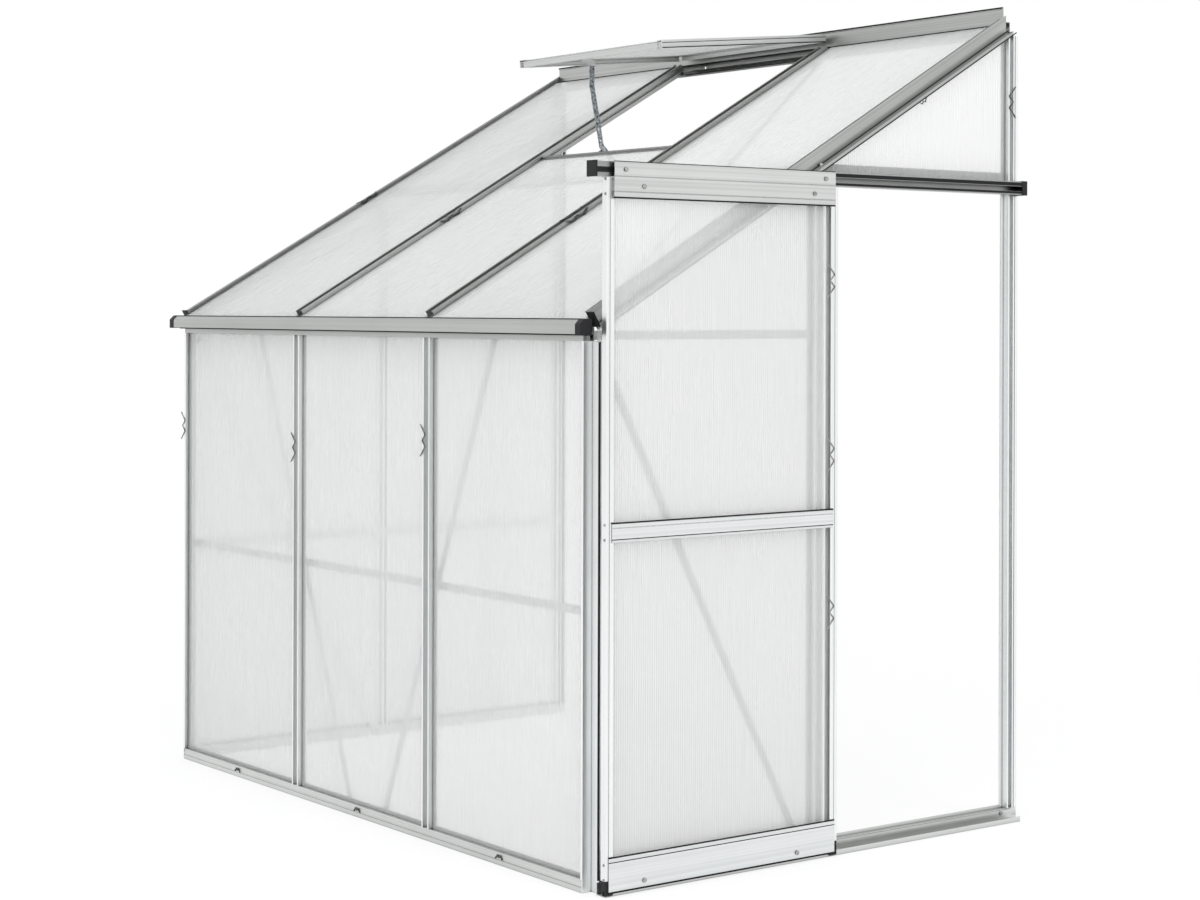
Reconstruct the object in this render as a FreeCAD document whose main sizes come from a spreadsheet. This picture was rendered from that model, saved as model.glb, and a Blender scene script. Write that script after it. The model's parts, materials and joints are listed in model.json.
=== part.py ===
import FreeCAD, Part
import math
import os
import Sketcher

# A small lean-to greenhouse: an aluminium frame of glazing bars with twin-wall panes, a pent roof
# that falls from a ridge beam on the wall to a gutter, a hinged roof vent on a stay, and a door that
# hangs on two rollers and slides along the near gable.
#
# +X runs along the ridge to the door gable, +Y to the wall and +Z up. The origin is the middle of
# the front sill's foot, on the ground. Lengths are millimetres, angles degrees.
SIZES = {
    # the frame as a whole
    "length": 1935,          # over the two gable faces
    "depth": 1311,           # from the front face to the wall
    "eave_top": 1247,        # roof plane above the front face
    "roof_rise": 735.15,     # roof plane, from the front face to the ridge beam's face
    "corner_edge": 34.5,     # gable face to the outermost bay line
    # the extrusions' common section
    "wall": 2,
    "bar_width": 30,
    "bar_depth": 30,
    "seat": 12,              # the panes lie this far behind the bars' outer lips
    "lip": 5,
    "ledge": 9,              # shelf behind a pane's edge
    "channel": 9,            # half the inner bolt channel
    "slot": 4,               # half the bolt channel's mouth
    # panes
    "pane": 4,
    "pane_gap": 1,
    # corner and wall posts
    "notch_x": 28,
    "notch_y": 24,
    "flange": 14,            # bolting flanges and ledges of the corner posts
    "wall_plate": 41.5,
    "wall_plate_stand": 8.5,
    "wall_post_gap": 10.5,   # wall to the wall post's glazing rib
    "wall_rib": 22,
    # sills
    "sill_top": 28,
    "sill_rib": 8,
    "sill_foot": 60,
    "foot_wall": 3,
    "anchor_hole": 4,
    "anchor_pitch": 500,
    # eave beam with its gutter
    "eave_low": 1188,
    "gutter_floor": 1203,
    "gutter_top": 1234,
    "gutter_reach": 30,
    "gutter_round": 10,
    "gutter_lip": 5,
    "cap_length": 17,
    # ridge beam
    "ridge_stand": 25,       # wall to the beam's face
    "ridge_above": 26,       # the face's top over the roof plane
    "ridge_height": 73,
    "ridge_lip_down": 46,    # lip and web below the top
    "ridge_web_down": 36,
    "ridge_bead": 1.5,
    "ridge_gap": 7,
    # roof bars and rafters
    "overhang": 17,          # roof panes beyond the front face, along the slope
    "bar_set_in": 8,         # bars and rafters behind it, along the slope
    "rafter_gap": 16,        # wall to the rafter's end
    "rafter_in": 25,         # gable face to the rafter's side wall
    "rafter_depth": 36,
    "fringe": 9,             # lips below the rafter's flange
    "plate_thick": 2.5,      # plates over the rafters' lower ends
    # vent sill and vent
    "vent_sill_gap": 25.5,   # the closed vent's free edge to its sill
    "vent_sill_width": 12,
    "vent_sill_top": 6,      # under the roof plane
    "vent_width": 632,
    "vent_length": 572,
    "vent_depth": 21,
    "vent_bar": 18,
    "vent_gap": 0.6,
    "vent_open": 24.2,
    "bead_radius": 3.5,
    "bead_clearance": 0.1,
    "hook_wall": 2,
    "hook_stand": 14,
    "hook_over": 14,         # angles of the hook's mouth, above and below level
    "hook_under": 50,
    "neck": 9,
    # stay
    "stay_from_edge": 44,
    "stay_aside": 44,        # the stay's place beside the middle of the vent
    "stay_drop": 10.5,
    "stay_width": 16,
    "stay_thick": 2,
    "stay_upper": 60,        # lengths and leans of the arm's two sloping parts
    "stay_middle": 164,
    "stay_middle_lean": 11.5,
    "stay_lower": 56,
    "stay_lower_lean": 46,
    "stay_hole_pitch": 30,
    "peg_radius": 2.5,
    "bracket_reach": 20,     # bracket and peg beyond the vent sill's channel
    "peg_reach": 13,
    "pin_radius": 3,
    "pin_clearance": 0.05,
    # flat strips
    "strip_wide": 20,
    "strip_thick": 2,
    "rail_height": 601,
    "eave_rail_height": 1200,
    "purlin_at": 750,
    # door
    "door_width": 666,
    "door_offset": 14.5,
    "door_gap": 18.5,
    "stile_depth": 16,
    "stile_face": 21,
    "stile_low": 35,
    "stile_high": 1539,
    "rail_stand": 8,
    "rail_end": 15,          # door edges to the rails' ends
    "low_rail_end": 8.5,
    "top_rail_low": 1497,
    "top_rail_high": 1572,
    "mid_rail_low": 757,
    "mid_rail_high": 797,
    "low_rail_low": 11,
    "low_rail_high": 82,
    # door track and rollers
    "track_low": 1541,
    "track_height": 32,
    "track_reach": 31,
    "track_low_lip": 8,
    "track_high_lip": 12,
    "track_ahead": 12,       # the track beyond the front face
    "cup_front": 3,          # sides of the end caps
    "cup_wall": 15,
    "buffer_length": 43,
    "buffer_gap": 0.5,
    "axle_height": 15,       # above the track's underside
    "axle_radius": 3,
    "axle_inset": 30,
    "wheel_clearance": 0.3,
    "wheel_width": 10,
    "low_track_reach": 31,
    "low_track_lip": 12,
    "low_track_front": 17,   # front face and wall to the lower track's ends
    "low_track_wall": 18,
    "guide_clearance": 1,
    # fasteners
    "head_across": 11,
    "head_height": 5,
    "screw_radius": 5,
    "screw_height": 2.5,
    "small_screw_radius": 3,
    "small_screw_height": 1,
    "wire": 2.2,
    "clip_reach": 38,        # half a glazing clip's length, and its width
    "clip_rise": 22,
    "small_clip_reach": 14,
    "small_clip_rise": 9,
    "top_screw_front": 95,   # door edges to the rails' screws
    "top_screw_wall": 79,
    "low_screw_front": 105,
    "low_screw_wall": 123,
    "top_screw_up": 24,
    "low_screw_up": 13,
}

doc = FreeCAD.newDocument("LeanToGreenhouse")
sheet = doc.addObject("Spreadsheet::Sheet", "Sizes")
for row, (name, value) in enumerate(SIZES.items(), start=1):
    sheet.set(f"A{row}", name)
    sheet.set(f"B{row}", str(value))
    sheet.setAlias(f"B{row}", name)
doc.recompute()


# A length or ratio worked out from the sheet: its value now, and the formula that keeps it bound.
class Size:
    def __init__(self, value, formula):
        self.value = value
        self.formula = formula

    def __add__(self, other):
        other = as_size(other)
        return Size(self.value + other.value, f"({self.formula} + {other.formula})")

    def __sub__(self, other):
        other = as_size(other)
        return Size(self.value - other.value, f"({self.formula} - {other.formula})")

    def __mul__(self, other):
        other = as_size(other)
        return Size(self.value * other.value, f"({self.formula} * {other.formula})")

    def __truediv__(self, other):
        other = as_size(other)
        return Size(self.value / other.value, f"({self.formula} / {other.formula})")

    def __neg__(self):
        return Size(-self.value, f"(-1 * {self.formula})")

    def __radd__(self, other):
        return as_size(other) + self

    def __rsub__(self, other):
        return as_size(other) - self

    def __rmul__(self, other):
        return as_size(other) * self

    def __rtruediv__(self, other):
        return as_size(other) / self


def as_size(item):
    return item if isinstance(item, Size) else Size(float(item), f"({float(item)})")


def root(item):
    return Size(math.sqrt(item.value), f"sqrt({item.formula})")


def sine(item):
    return Size(math.sin(math.radians(item.value)), f"sin({item.formula})")


def cosine(item):
    return Size(math.cos(math.radians(item.value)), f"cos({item.formula})")


def arc_tangent(item):
    return Size(math.degrees(math.atan(item.value)), f"(atan({item.formula}) / 1 deg)")


class Named:
    pass


d = Named()
for name, value in SIZES.items():
    setattr(d, name, Size(float(value), f"Sizes.{name}"))

# Places that several pieces share.
half_length = d.length / 2
front_y = (d.bar_depth - d.wall + d.sill_foot) / -2
wall_y = front_y + d.depth
mid_y = front_y + d.depth / 2
bay = (d.length - 2 * d.corner_edge) / 3
back = d.seat + d.pane
half_bar = d.bar_width / 2
corner_in = d.notch_x + d.wall
corner_back = d.notch_y + d.wall

# The roof plane passes through the bars' top edges.
roof_run = d.depth - d.ridge_stand
slope = d.roof_rise / roof_run
pitch = arc_tangent(slope)
stretch = root(1 + slope * slope)
roof_cos = 1 / stretch
roof_sin = slope / stretch
rafter_low = d.rafter_depth + d.fringe
bar_stop = (roof_run - d.ridge_gap - rafter_low * roof_sin) / roof_cos
ridge_top = d.eave_top + d.roof_rise + d.ridge_above
ridge_low = ridge_top - d.ridge_height
ridge_lip = ridge_top - d.ridge_lip_down
ridge_web = ridge_top - d.ridge_web_down

# The vent's hinge, out from the wall and along the roof, and the sill under its free edge.
hinge_out = d.ridge_stand + d.hook_stand
hinge_over = d.vent_depth / 2 + d.vent_gap
hinge_along = (d.depth - hinge_out) * stretch + hinge_over * slope
vent_sill_at = hinge_along - d.vent_length - d.vent_sill_gap

stile_out = half_length + d.door_gap + d.stile_depth
door_out = stile_out + d.rail_stand
door_y = front_y + d.door_offset
axle_z = d.track_low + d.axle_height


# Height of the plane that lies a given depth under the roof plane, above a given distance back.
def roof_z(distance, depth):
    return d.eave_top + distance * slope - depth * stretch


PLANES = {"X": ("YZ_Plane", 1), "Y": ("XZ_Plane", -1), "Z": ("XY_Plane", 1)}
nodes = []
trimmed = []


def new_body(label, base=(0, 0, 0), tilt=None):
    body = doc.addObject("PartDesign::Body", label)
    body.Label = label
    if tilt is not None:
        body.Placement.Rotation = FreeCAD.Rotation(FreeCAD.Vector(1, 0, 0), tilt.value)
        body.setExpression("Placement.Rotation.Angle", tilt.formula)
    for letter, amount in zip("xyz", base):
        body.setExpression(f"Placement.Base.{letter}", as_size(amount).formula)
    nodes.append(body)
    return body


# An empty sketch across one axis of the body, moved along that axis to its start.
def new_sketch(body, axis, start):
    role, sense = PLANES[axis]
    sketch = body.newObject("Sketcher::SketchObject", f"{body.Name}_Sketch")
    support = [item for item in body.Origin.OriginFeatures if item.Role == role][0]
    sketch.AttachmentSupport = (support, [""])
    sketch.MapMode = "FlatFace"
    sketch.setExpression("AttachmentOffset.Base.z", (sense * as_size(start)).formula)
    return sketch


# Closed outlines, each corner held by its two distances from the sketch's origin.
def draw_outlines(sketch, outlines):
    bound = []
    for outline in outlines:
        corners = [(as_size(a), as_size(b)) for a, b in outline]
        first = sketch.GeometryCount
        count = len(corners)
        lines = []
        links = []
        for index in range(count):
            here = corners[index]
            there = corners[(index + 1) % count]
            lines.append(Part.LineSegment(FreeCAD.Vector(here[0].value, here[1].value, 0),
                                          FreeCAD.Vector(there[0].value, there[1].value, 0)))
            links.append(Sketcher.Constraint("Coincident", first + index, 2,
                                             first + (index + 1) % count, 1))
        sketch.addGeometry(lines, False)
        sketch.addConstraint(links)
        for index, corner in enumerate(corners):
            for kind, amount in zip(("DistanceX", "DistanceY"), corner):
                place = sketch.ConstraintCount
                sketch.addConstraint(Sketcher.Constraint(kind, -1, 1, first + index, 1, amount.value))
                if "Sizes." in amount.formula:
                    bound.append((place, amount.formula))
    for place, formula in bound:
        sketch.setExpression(f"Constraints[{place}]", formula)


def draw_circles(sketch, centres, radius):
    for a, b in centres:
        a = as_size(a)
        b = as_size(b)
        index = sketch.addGeometry(Part.Circle(FreeCAD.Vector(a.value, b.value, 0),
                                               FreeCAD.Vector(0, 0, 1), radius.value), False)
        held = [("DistanceX", a), ("DistanceY", b)]
        for kind, amount in held:
            place = sketch.addConstraint(Sketcher.Constraint(kind, -1, 1, index, 3, amount.value))
            sketch.setExpression(f"Constraints[{place}]", amount.formula)
        place = sketch.addConstraint(Sketcher.Constraint("Radius", index, radius.value))
        sketch.setExpression(f"Constraints[{place}]", radius.formula)


def pad(body, sketch, axis, length):
    feature = body.newObject("PartDesign::Pad", f"{body.Name}_Pad")
    feature.Profile = sketch
    feature.setExpression("Length", as_size(length).formula)
    feature.Reversed = PLANES[axis][1] < 0
    sketch.Visibility = False
    return feature


def pocket(body, sketch, axis, length):
    before = body.Tip
    feature = body.newObject("PartDesign::Pocket", f"{body.Name}_Pocket")
    feature.Profile = sketch
    feature.setExpression("Length", as_size(length).formula)
    feature.Reversed = PLANES[axis][1] > 0
    trimmed.append((before, feature))
    return feature


# A straight bar: an outline across one axis, run from start over a length.
def bar(label, axis, outline, start, length, base=(0, 0, 0), tilt=None):
    body = new_body(label, base, tilt)
    add_bar(body, axis, outline, start, length)
    return body


def add_bar(body, axis, outline, start, length):
    sketch = new_sketch(body, axis, start)
    draw_outlines(sketch, [outline])
    return pad(body, sketch, axis, length)


def add_rod(body, axis, centre, radius, start, length):
    sketch = new_sketch(body, axis, start)
    draw_circles(sketch, [centre], radius)
    return pad(body, sketch, axis, length)


def cut(body, axis, outlines, start, length):
    sketch = new_sketch(body, axis, start)
    draw_outlines(sketch, outlines)
    return pocket(body, sketch, axis, length)


def drill(body, axis, centres, radius, start, length):
    sketch = new_sketch(body, axis, start)
    draw_circles(sketch, centres, radius)
    return pocket(body, sketch, axis, length)


def rectangle(low_a, high_a, low_b, high_b):
    return [(low_a, low_b), (high_a, low_b), (high_a, high_b), (low_a, high_b)]


# A band of even width along some points.
def band(points, width):
    points = [(as_size(a), as_size(b)) for a, b in points]
    normals = []
    for (a0, b0), (a1, b1) in zip(points, points[1:]):
        run = root((a1 - a0) * (a1 - a0) + (b1 - b0) * (b1 - b0))
        normals.append(((b0 - b1) / run, (a1 - a0) / run))
    inner = [((m[0] + n[0]) / 2, (m[1] + n[1]) / 2) for m, n in zip(normals, normals[1:])]
    normals = normals[:1] + inner + normals[-1:]
    left = [(p[0] + n[0] * width / 2, p[1] + n[1] * width / 2) for p, n in zip(points, normals)]
    right = [(p[0] - n[0] * width / 2, p[1] - n[1] * width / 2) for p, n in zip(points, normals)]
    return left + right[::-1]


# Sections: first figure across the wall, second inwards from the outer face.
# Glazing bar: an outward channel with turned lips, a ledge each side and an inner bolt channel.
def glazing_bar():
    right = [
        (half_bar - d.wall, back),
        (half_bar - d.wall, d.wall),
        (half_bar - d.lip, d.wall),
        (half_bar - d.lip, 0),
        (half_bar, 0),
        (half_bar, back),
        (half_bar + d.ledge, back),
        (half_bar + d.ledge, back + d.wall),
        (d.channel, back + d.wall),
        (d.channel, d.bar_depth),
        (d.slot, d.bar_depth),
        (d.slot, d.bar_depth - d.wall),
        (d.channel - d.wall, d.bar_depth - d.wall),
        (d.channel - d.wall, back + d.wall),
    ]
    return right + [(-a, b) for a, b in right[::-1]]


# Corner post: the corner itself is let in, with a lip in front of each pane's edge.
def corner_post():
    inner_x = corner_in
    inner_y = corner_back
    return [
        (inner_x + d.lip, 0),
        (d.notch_x, 0),
        (d.notch_x, d.notch_y),
        (0, d.notch_y),
        (0, inner_y + d.lip),
        (d.wall, inner_y + d.lip),
        (d.wall, inner_y),
        (back, inner_y),
        (back, inner_y + d.flange),
        (back + d.wall, inner_y + d.flange),
        (back + d.wall, inner_y),
        (d.notch_x, inner_y),
        (d.notch_x, inner_y + d.flange + d.lip),
        (inner_x, inner_y + d.flange + d.lip),
        (inner_x, d.bar_depth),
        (inner_x + d.flange, d.bar_depth),
        (inner_x + d.flange, d.bar_depth - d.wall),
        (inner_x, d.bar_depth - d.wall),
        (inner_x, back + d.wall),
        (inner_x + d.flange, back + d.wall),
        (inner_x + d.flange, back),
        (inner_x, back),
        (inner_x, d.wall),
        (inner_x + d.lip, d.wall),
    ]


# Wall post: a plate on the wall, a web, and a glazing rib that faces out of the gable.
# Here the first figure is inwards from the gable face, the second out from the wall.
def wall_post():
    near = d.wall_post_gap
    far = near + d.wall_rib
    middle = near + d.wall_rib / 2
    return [
        (0, far),
        (0, far - d.lip),
        (d.wall, far - d.lip),
        (d.wall, far - d.wall),
        (back, far - d.wall),
        (back, near + d.wall),
        (d.wall, near + d.wall),
        (d.wall, near + d.lip),
        (0, near + d.lip),
        (0, near),
        (back, near),
        (back, d.wall_plate_stand),
        (0, d.wall_plate_stand),
        (0, 0),
        (d.wall, 0),
        (d.wall, d.wall_plate_stand - d.wall),
        (d.wall_plate - d.wall, d.wall_plate_stand - d.wall),
        (d.wall_plate - d.wall, 0),
        (d.wall_plate, 0),
        (d.wall_plate, d.wall_plate_stand),
        (back + d.wall, d.wall_plate_stand),
        (back + d.wall, middle - d.channel),
        (d.bar_depth, middle - d.channel),
        (d.bar_depth, middle - d.slot),
        (d.bar_depth - d.wall, middle - d.slot),
        (d.bar_depth - d.wall, middle - d.channel + d.wall),
        (back + d.wall, middle - d.channel + d.wall),
        (back + d.wall, middle + d.channel - d.wall),
        (d.bar_depth - d.wall, middle + d.channel - d.wall),
        (d.bar_depth - d.wall, middle + d.slot),
        (d.bar_depth, middle + d.slot),
        (d.bar_depth, middle + d.channel),
        (back + d.wall, middle + d.channel),
        (back + d.wall, far + d.ledge),
        (back, far + d.ledge),
        (back, far),
    ]


# Sill: a drip-grooved outer wall, a ledge for the panes with a rib behind them, an inner wall and,
# at the front, a foot. The second figure is the height.
def sill(with_foot):
    groove_low = d.sill_top * 0.4
    groove_high = groove_low + d.wall
    outline = [
        (0, 0),
        (0, groove_low),
        (d.wall / 2, groove_low),
        (d.wall / 2, groove_high),
        (0, groove_high),
        (d.wall, d.sill_top),
        (back, d.sill_top),
        (back, d.sill_top + d.sill_rib),
        (back + d.wall, d.sill_top + d.sill_rib),
        (back + d.wall, d.sill_top),
        (d.bar_depth, d.sill_top),
    ]
    foot = [
        (d.bar_depth, d.foot_wall),
        (d.sill_foot, d.foot_wall),
        (d.sill_foot, 0),
    ]
    plain = [(d.bar_depth, 0)]
    inner = [
        (d.bar_depth - d.wall, 0),
        (d.bar_depth - d.wall, d.sill_top - d.wall),
        (2 * d.wall, d.sill_top - d.wall),
        (d.wall, groove_high),
        (d.wall, 0),
    ]
    return outline + (foot if with_foot else plain) + inner


# Sills
front_sill_half = half_length - corner_in
front_sill = bar("front_sill", "X", sill(True), -front_sill_half, 2 * front_sill_half,
                 base=(0, front_y, 0))
stud_foot = half_bar + d.ledge + d.pane_gap
rib_notches = [rectangle(x - stud_foot, x + stud_foot, back - 1, back + d.wall + 1)
               for x in (-bay / 2, bay / 2)]
rib_notches += [rectangle(-front_sill_half - 1, -front_sill_half + d.flange + d.pane_gap,
                          back - 1, back + d.wall + 1),
                rectangle(front_sill_half - d.flange - d.pane_gap, front_sill_half + 1,
                          back - 1, back + d.wall + 1)]
cut(front_sill, "Z", rib_notches, d.sill_top, d.sill_rib + 1)
foot_middle = (d.bar_depth - d.wall + d.sill_foot) / 2
drill(front_sill, "Z", [(d.anchor_pitch * step, foot_middle) for step in (-1.5, -0.5, 0.5, 1.5)],
      d.anchor_hole, -1, d.foot_wall + 2)

gable_sill_start = corner_back
for label, side in (("near_gable_sill", 1), ("far_gable_sill", -1)):
    outline = [(-side * a, b) for a, b in sill(False)]
    body = bar(label, "Y", outline, gable_sill_start, d.depth - gable_sill_start,
               base=(side * half_length, front_y, 0))
    low_edge = (back - 1) * -side
    high_edge = (back + d.wall + 1) * -side
    wall_side = d.depth - d.wall_post_gap - d.wall_rib - d.ledge - d.pane_gap
    cut(body, "Z",
        [rectangle(low_edge, high_edge, gable_sill_start - 1, gable_sill_start + d.flange + d.pane_gap),
         rectangle(low_edge, high_edge, d.depth / 2 - stud_foot, d.depth / 2 + stud_foot),
         rectangle(low_edge, high_edge, wall_side, d.depth + 1)],
        d.sill_top, d.sill_rib + 1)

# Posts and studs
for label, side in (("near_corner_post", 1), ("far_corner_post", -1)):
    outline = [(-side * a, b) for a, b in corner_post()]
    body = bar(label, "Z", outline, 0, d.eave_low, base=(side * half_length, front_y, 0))
    beyond = corner_in + d.sill_foot
    # Below the sills' ledge only the let-in corner is left, so that both sills butt against it.
    lower = [(corner_in, -1), (beyond, -1), (beyond, beyond), (-1, beyond), (-1, corner_back),
             (corner_in, corner_back)]
    cut(body, "Z", [[(-side * a, b) for a, b in lower]], -1, d.sill_top + 1)

post_height = ridge_low - d.sill_top
for label, side in (("near_wall_post", 1), ("far_wall_post", -1)):
    outline = [(-side * a, -b) for a, b in wall_post()]
    body = bar(label, "Z", outline, d.sill_top, post_height, base=(side * half_length, wall_y, 0))
    # The glazing rib ends under the rafter; the wall plate runs on up to the ridge beam.
    rib_out = d.wall_post_gap + d.wall_rib + d.ledge + 1
    rib_in = d.wall_post_gap - 1
    over = ridge_low + d.bar_depth
    cut(body, "X",
        [[(-rib_out, roof_z(d.depth - rib_out, rafter_low)),
          (-rib_in, roof_z(d.depth - rib_in, rafter_low)),
          (-rib_in, over), (-rib_out, over)]],
        -d.wall_plate - 1, 2 * d.wall_plate + 2)
    drill(body, "Y", [(-side * (d.wall_plate - half_bar / 2), d.sill_top + post_height * part)
                      for part in (0.2, 0.5, 0.8)],
          d.anchor_hole, -d.wall_plate_stand - 1, d.wall_plate_stand + 2)

for label, x in (("front_stud_1", -bay / 2), ("front_stud_2", bay / 2)):
    bar(label, "Z", glazing_bar(), d.sill_top, d.eave_low - d.sill_top, base=(x, front_y, 0))

stud_reach = half_bar + d.ledge
for label, side in (("door_mid_post", 1), ("far_gable_stud", -1)):
    outline = [(-side * b, a) for a, b in glazing_bar()]
    stud_top = roof_z(d.depth / 2 + stud_reach, rafter_low)
    body = bar(label, "Z", outline, d.sill_top, stud_top - d.sill_top,
               base=(side * half_length, mid_y, 0))
    reach = stud_reach + 1
    over = stud_top + d.bar_depth
    cut(body, "X",
        [[(-reach, roof_z(d.depth / 2 - reach, rafter_low)),
          (reach, roof_z(d.depth / 2 + reach, rafter_low)),
          (reach, over), (-reach, over)]],
        -d.bar_depth - 1, 2 * d.bar_depth + 2)

# Eave beam with its gutter, and the gutter's end caps.
# The roof bars rest on the two upright webs, which are cut to the slope.
def bar_rest(distance):
    return roof_z(distance, d.bar_depth)


gutter_front = [
    (0, d.gutter_floor),
    (-d.gutter_reach, d.gutter_floor),
    (-d.gutter_reach, d.gutter_top - d.gutter_round),
    (-d.gutter_reach + d.gutter_round, d.gutter_top),
    (-d.gutter_reach + d.gutter_round + d.gutter_lip, d.gutter_top),
]
slant = d.wall * 0.42
eave_outline = [(0, d.eave_low)] + gutter_front + [
    (-d.gutter_reach + d.gutter_round + d.gutter_lip, d.gutter_top - d.wall),
    (-d.gutter_reach + d.gutter_round + slant, d.gutter_top - d.wall),
    (-d.gutter_reach + d.wall, d.gutter_top - d.gutter_round - slant),
    (-d.gutter_reach + d.wall, d.gutter_floor + d.wall),
    (0, d.gutter_floor + d.wall),
    (0, bar_rest(0)),
    (d.wall, bar_rest(d.wall)),
    (d.wall, d.gutter_floor + d.wall),
    (d.bar_depth - d.wall, d.gutter_floor + d.wall),
    (d.bar_depth - d.wall, bar_rest(d.bar_depth - d.wall)),
    (d.bar_depth, bar_rest(d.bar_depth)),
    (d.bar_depth, d.eave_low),
    (d.bar_depth - d.wall, d.eave_low),
    (d.bar_depth - d.wall, d.gutter_floor),
    (back + d.wall, d.gutter_floor),
    (back + d.wall, d.eave_low),
    (back, d.eave_low),
    (back, d.gutter_floor),
    (d.wall, d.gutter_floor),
    (d.wall, d.eave_low),
]
eave_beam = bar("eave_beam", "X", eave_outline, -half_length, d.length, base=(0, front_y, 0))
# At each end the webs give way to the rafter, and the lower lips to the corner's let-in shape.
web_top = d.gutter_floor + d.wall
rafter_reach = d.rafter_in + d.wall + d.pane_gap
cut(eave_beam, "Z",
    [rectangle(sign * half_length - (1 if sign < 0 else rafter_reach),
               sign * half_length + (rafter_reach if sign < 0 else 1), -0.01, d.bar_depth + 1)
     for sign in (-1, 1)],
    web_top, d.gutter_top)
cut(eave_beam, "Z",
    [rectangle(sign * half_length - (1 if sign < 0 else corner_in),
               sign * half_length + (corner_in if sign < 0 else 1), -0.01, d.bar_depth + 1)
     for sign in (-1, 1)],
    d.eave_low - 1, d.gutter_top)

# Each cap is a cup over the gutter's end, with the trough's own outline inside.
cap_wall = d.wall * 0.75
cap_inner = [
    (0, d.gutter_floor),
    (-d.gutter_reach, d.gutter_floor),
    (-d.gutter_reach, d.gutter_top - d.gutter_round),
    (-d.gutter_reach + d.gutter_round, d.gutter_top),
    (0, d.gutter_top),
]
cap_outer = [
    (0, d.gutter_floor - cap_wall),
    (-d.gutter_reach - cap_wall, d.gutter_floor - cap_wall),
    (-d.gutter_reach - cap_wall, d.gutter_top - d.gutter_round + cap_wall * 0.4),
    (-d.gutter_reach + d.gutter_round - cap_wall * 0.4, d.gutter_top + cap_wall),
    (0, d.gutter_top + cap_wall),
]


def members(label, made):
    group = doc.addObject("Part::Compound", label)
    group.Label = label
    group.Links = made
    for item in made:
        nodes.remove(item)
    nodes.append(group)
    return group


caps = []
for label, start, hollow in (
        ("gutter_cap_far", -half_length - d.wall, -half_length),
        ("gutter_cap_near", half_length - d.cap_length, half_length - d.cap_length - 1)):
    body = new_body(label, base=(0, front_y, 0))
    add_bar(body, "X", cap_outer, start, d.cap_length + d.wall)
    cut(body, "X", [cap_inner], hollow, d.cap_length + 1)
    caps.append(body)

# Ridge beam: a plate on the wall, a web out to a thin upright face, a shelf under the roof bars' ends
# and, over the middle bay, the hook that the vent's bead turns in.
ridge_half = half_length - d.rafter_in - d.wall
face_in = -d.ridge_stand + d.wall
shelf_z = bar_rest(roof_run)
shelf_out = d.ridge_stand + d.bar_width * 0.75
ridge_outline = [
    (0, ridge_low),
    (0, ridge_web),
    (face_in, ridge_web),
    (face_in, ridge_top),
    (-d.ridge_stand - d.ridge_bead, ridge_top),
    (-d.ridge_stand - d.ridge_bead, ridge_top - d.lip),
    (-d.ridge_stand, ridge_top - d.lip - d.ridge_bead),
    (-d.ridge_stand, ridge_lip + d.wall),
    (-d.ridge_stand - d.wall, ridge_lip + d.wall),
    (-d.ridge_stand - d.wall, ridge_lip),
    (face_in, ridge_lip),
    (face_in, ridge_web - d.wall),
    (-d.wall, ridge_web - d.wall),
    (-d.wall, shelf_z),
    (-d.ridge_stand, shelf_z),
    (-shelf_out, bar_rest(d.depth - shelf_out)),
    (-shelf_out, bar_rest(d.depth - shelf_out) - d.wall),
    (-d.ridge_stand, shelf_z - d.wall),
    (-d.wall, shelf_z - d.wall),
    (-d.wall, ridge_low),
]
ridge_beam = bar("ridge_beam", "X", ridge_outline, -ridge_half, 2 * ridge_half, base=(0, wall_y, 0))
hinge_y = wall_y - hinge_out
hinge_z = roof_z(d.depth - hinge_out, -hinge_over)
hook_inner = d.bead_radius + d.bead_clearance
hook_outer = hook_inner + d.hook_wall
hinge_half = d.vent_width / 2 - d.vent_bar
hook_half = hinge_half - d.vent_gap * 10
add_rod(ridge_beam, "X", (-hinge_out, hinge_z), hook_outer, -hook_half, 2 * hook_half)
add_bar(ridge_beam, "X",
        rectangle(-hinge_out + hook_inner + d.hook_wall / 2, face_in - d.wall / 2,
                  hinge_z - d.hook_wall / 2, hinge_z + d.hook_wall / 2),
        -hook_half, 2 * hook_half)
drill(ridge_beam, "X", [(-hinge_out, hinge_z)], hook_inner, -hook_half - 1, 2 * hook_half + 2)
mouth_reach = 2 * hook_outer
mouth = [(-hinge_out, hinge_z),
         (-hinge_out - mouth_reach * cosine(d.hook_over), hinge_z + mouth_reach * sine(d.hook_over)),
         (-hinge_out - mouth_reach * cosine(d.hook_under), hinge_z - mouth_reach * sine(d.hook_under))]
cut(ridge_beam, "X", [mouth], -hook_half - 1, 2 * hook_half + 2)
drill(ridge_beam, "Y", [(d.anchor_pitch * step, ridge_lip - half_bar / 2)
                        for step in (-1.5, -0.5, 0.5, 1.5)],
      d.anchor_hole, -d.wall - 1, d.wall + 2)

# Rafters and roof bars, drawn square to the roof plane and then tilted with it
roof_start = (front_y + d.bar_set_in * roof_cos, d.eave_top + d.bar_set_in * roof_sin)
bar_length = bar_stop - d.bar_set_in


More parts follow.
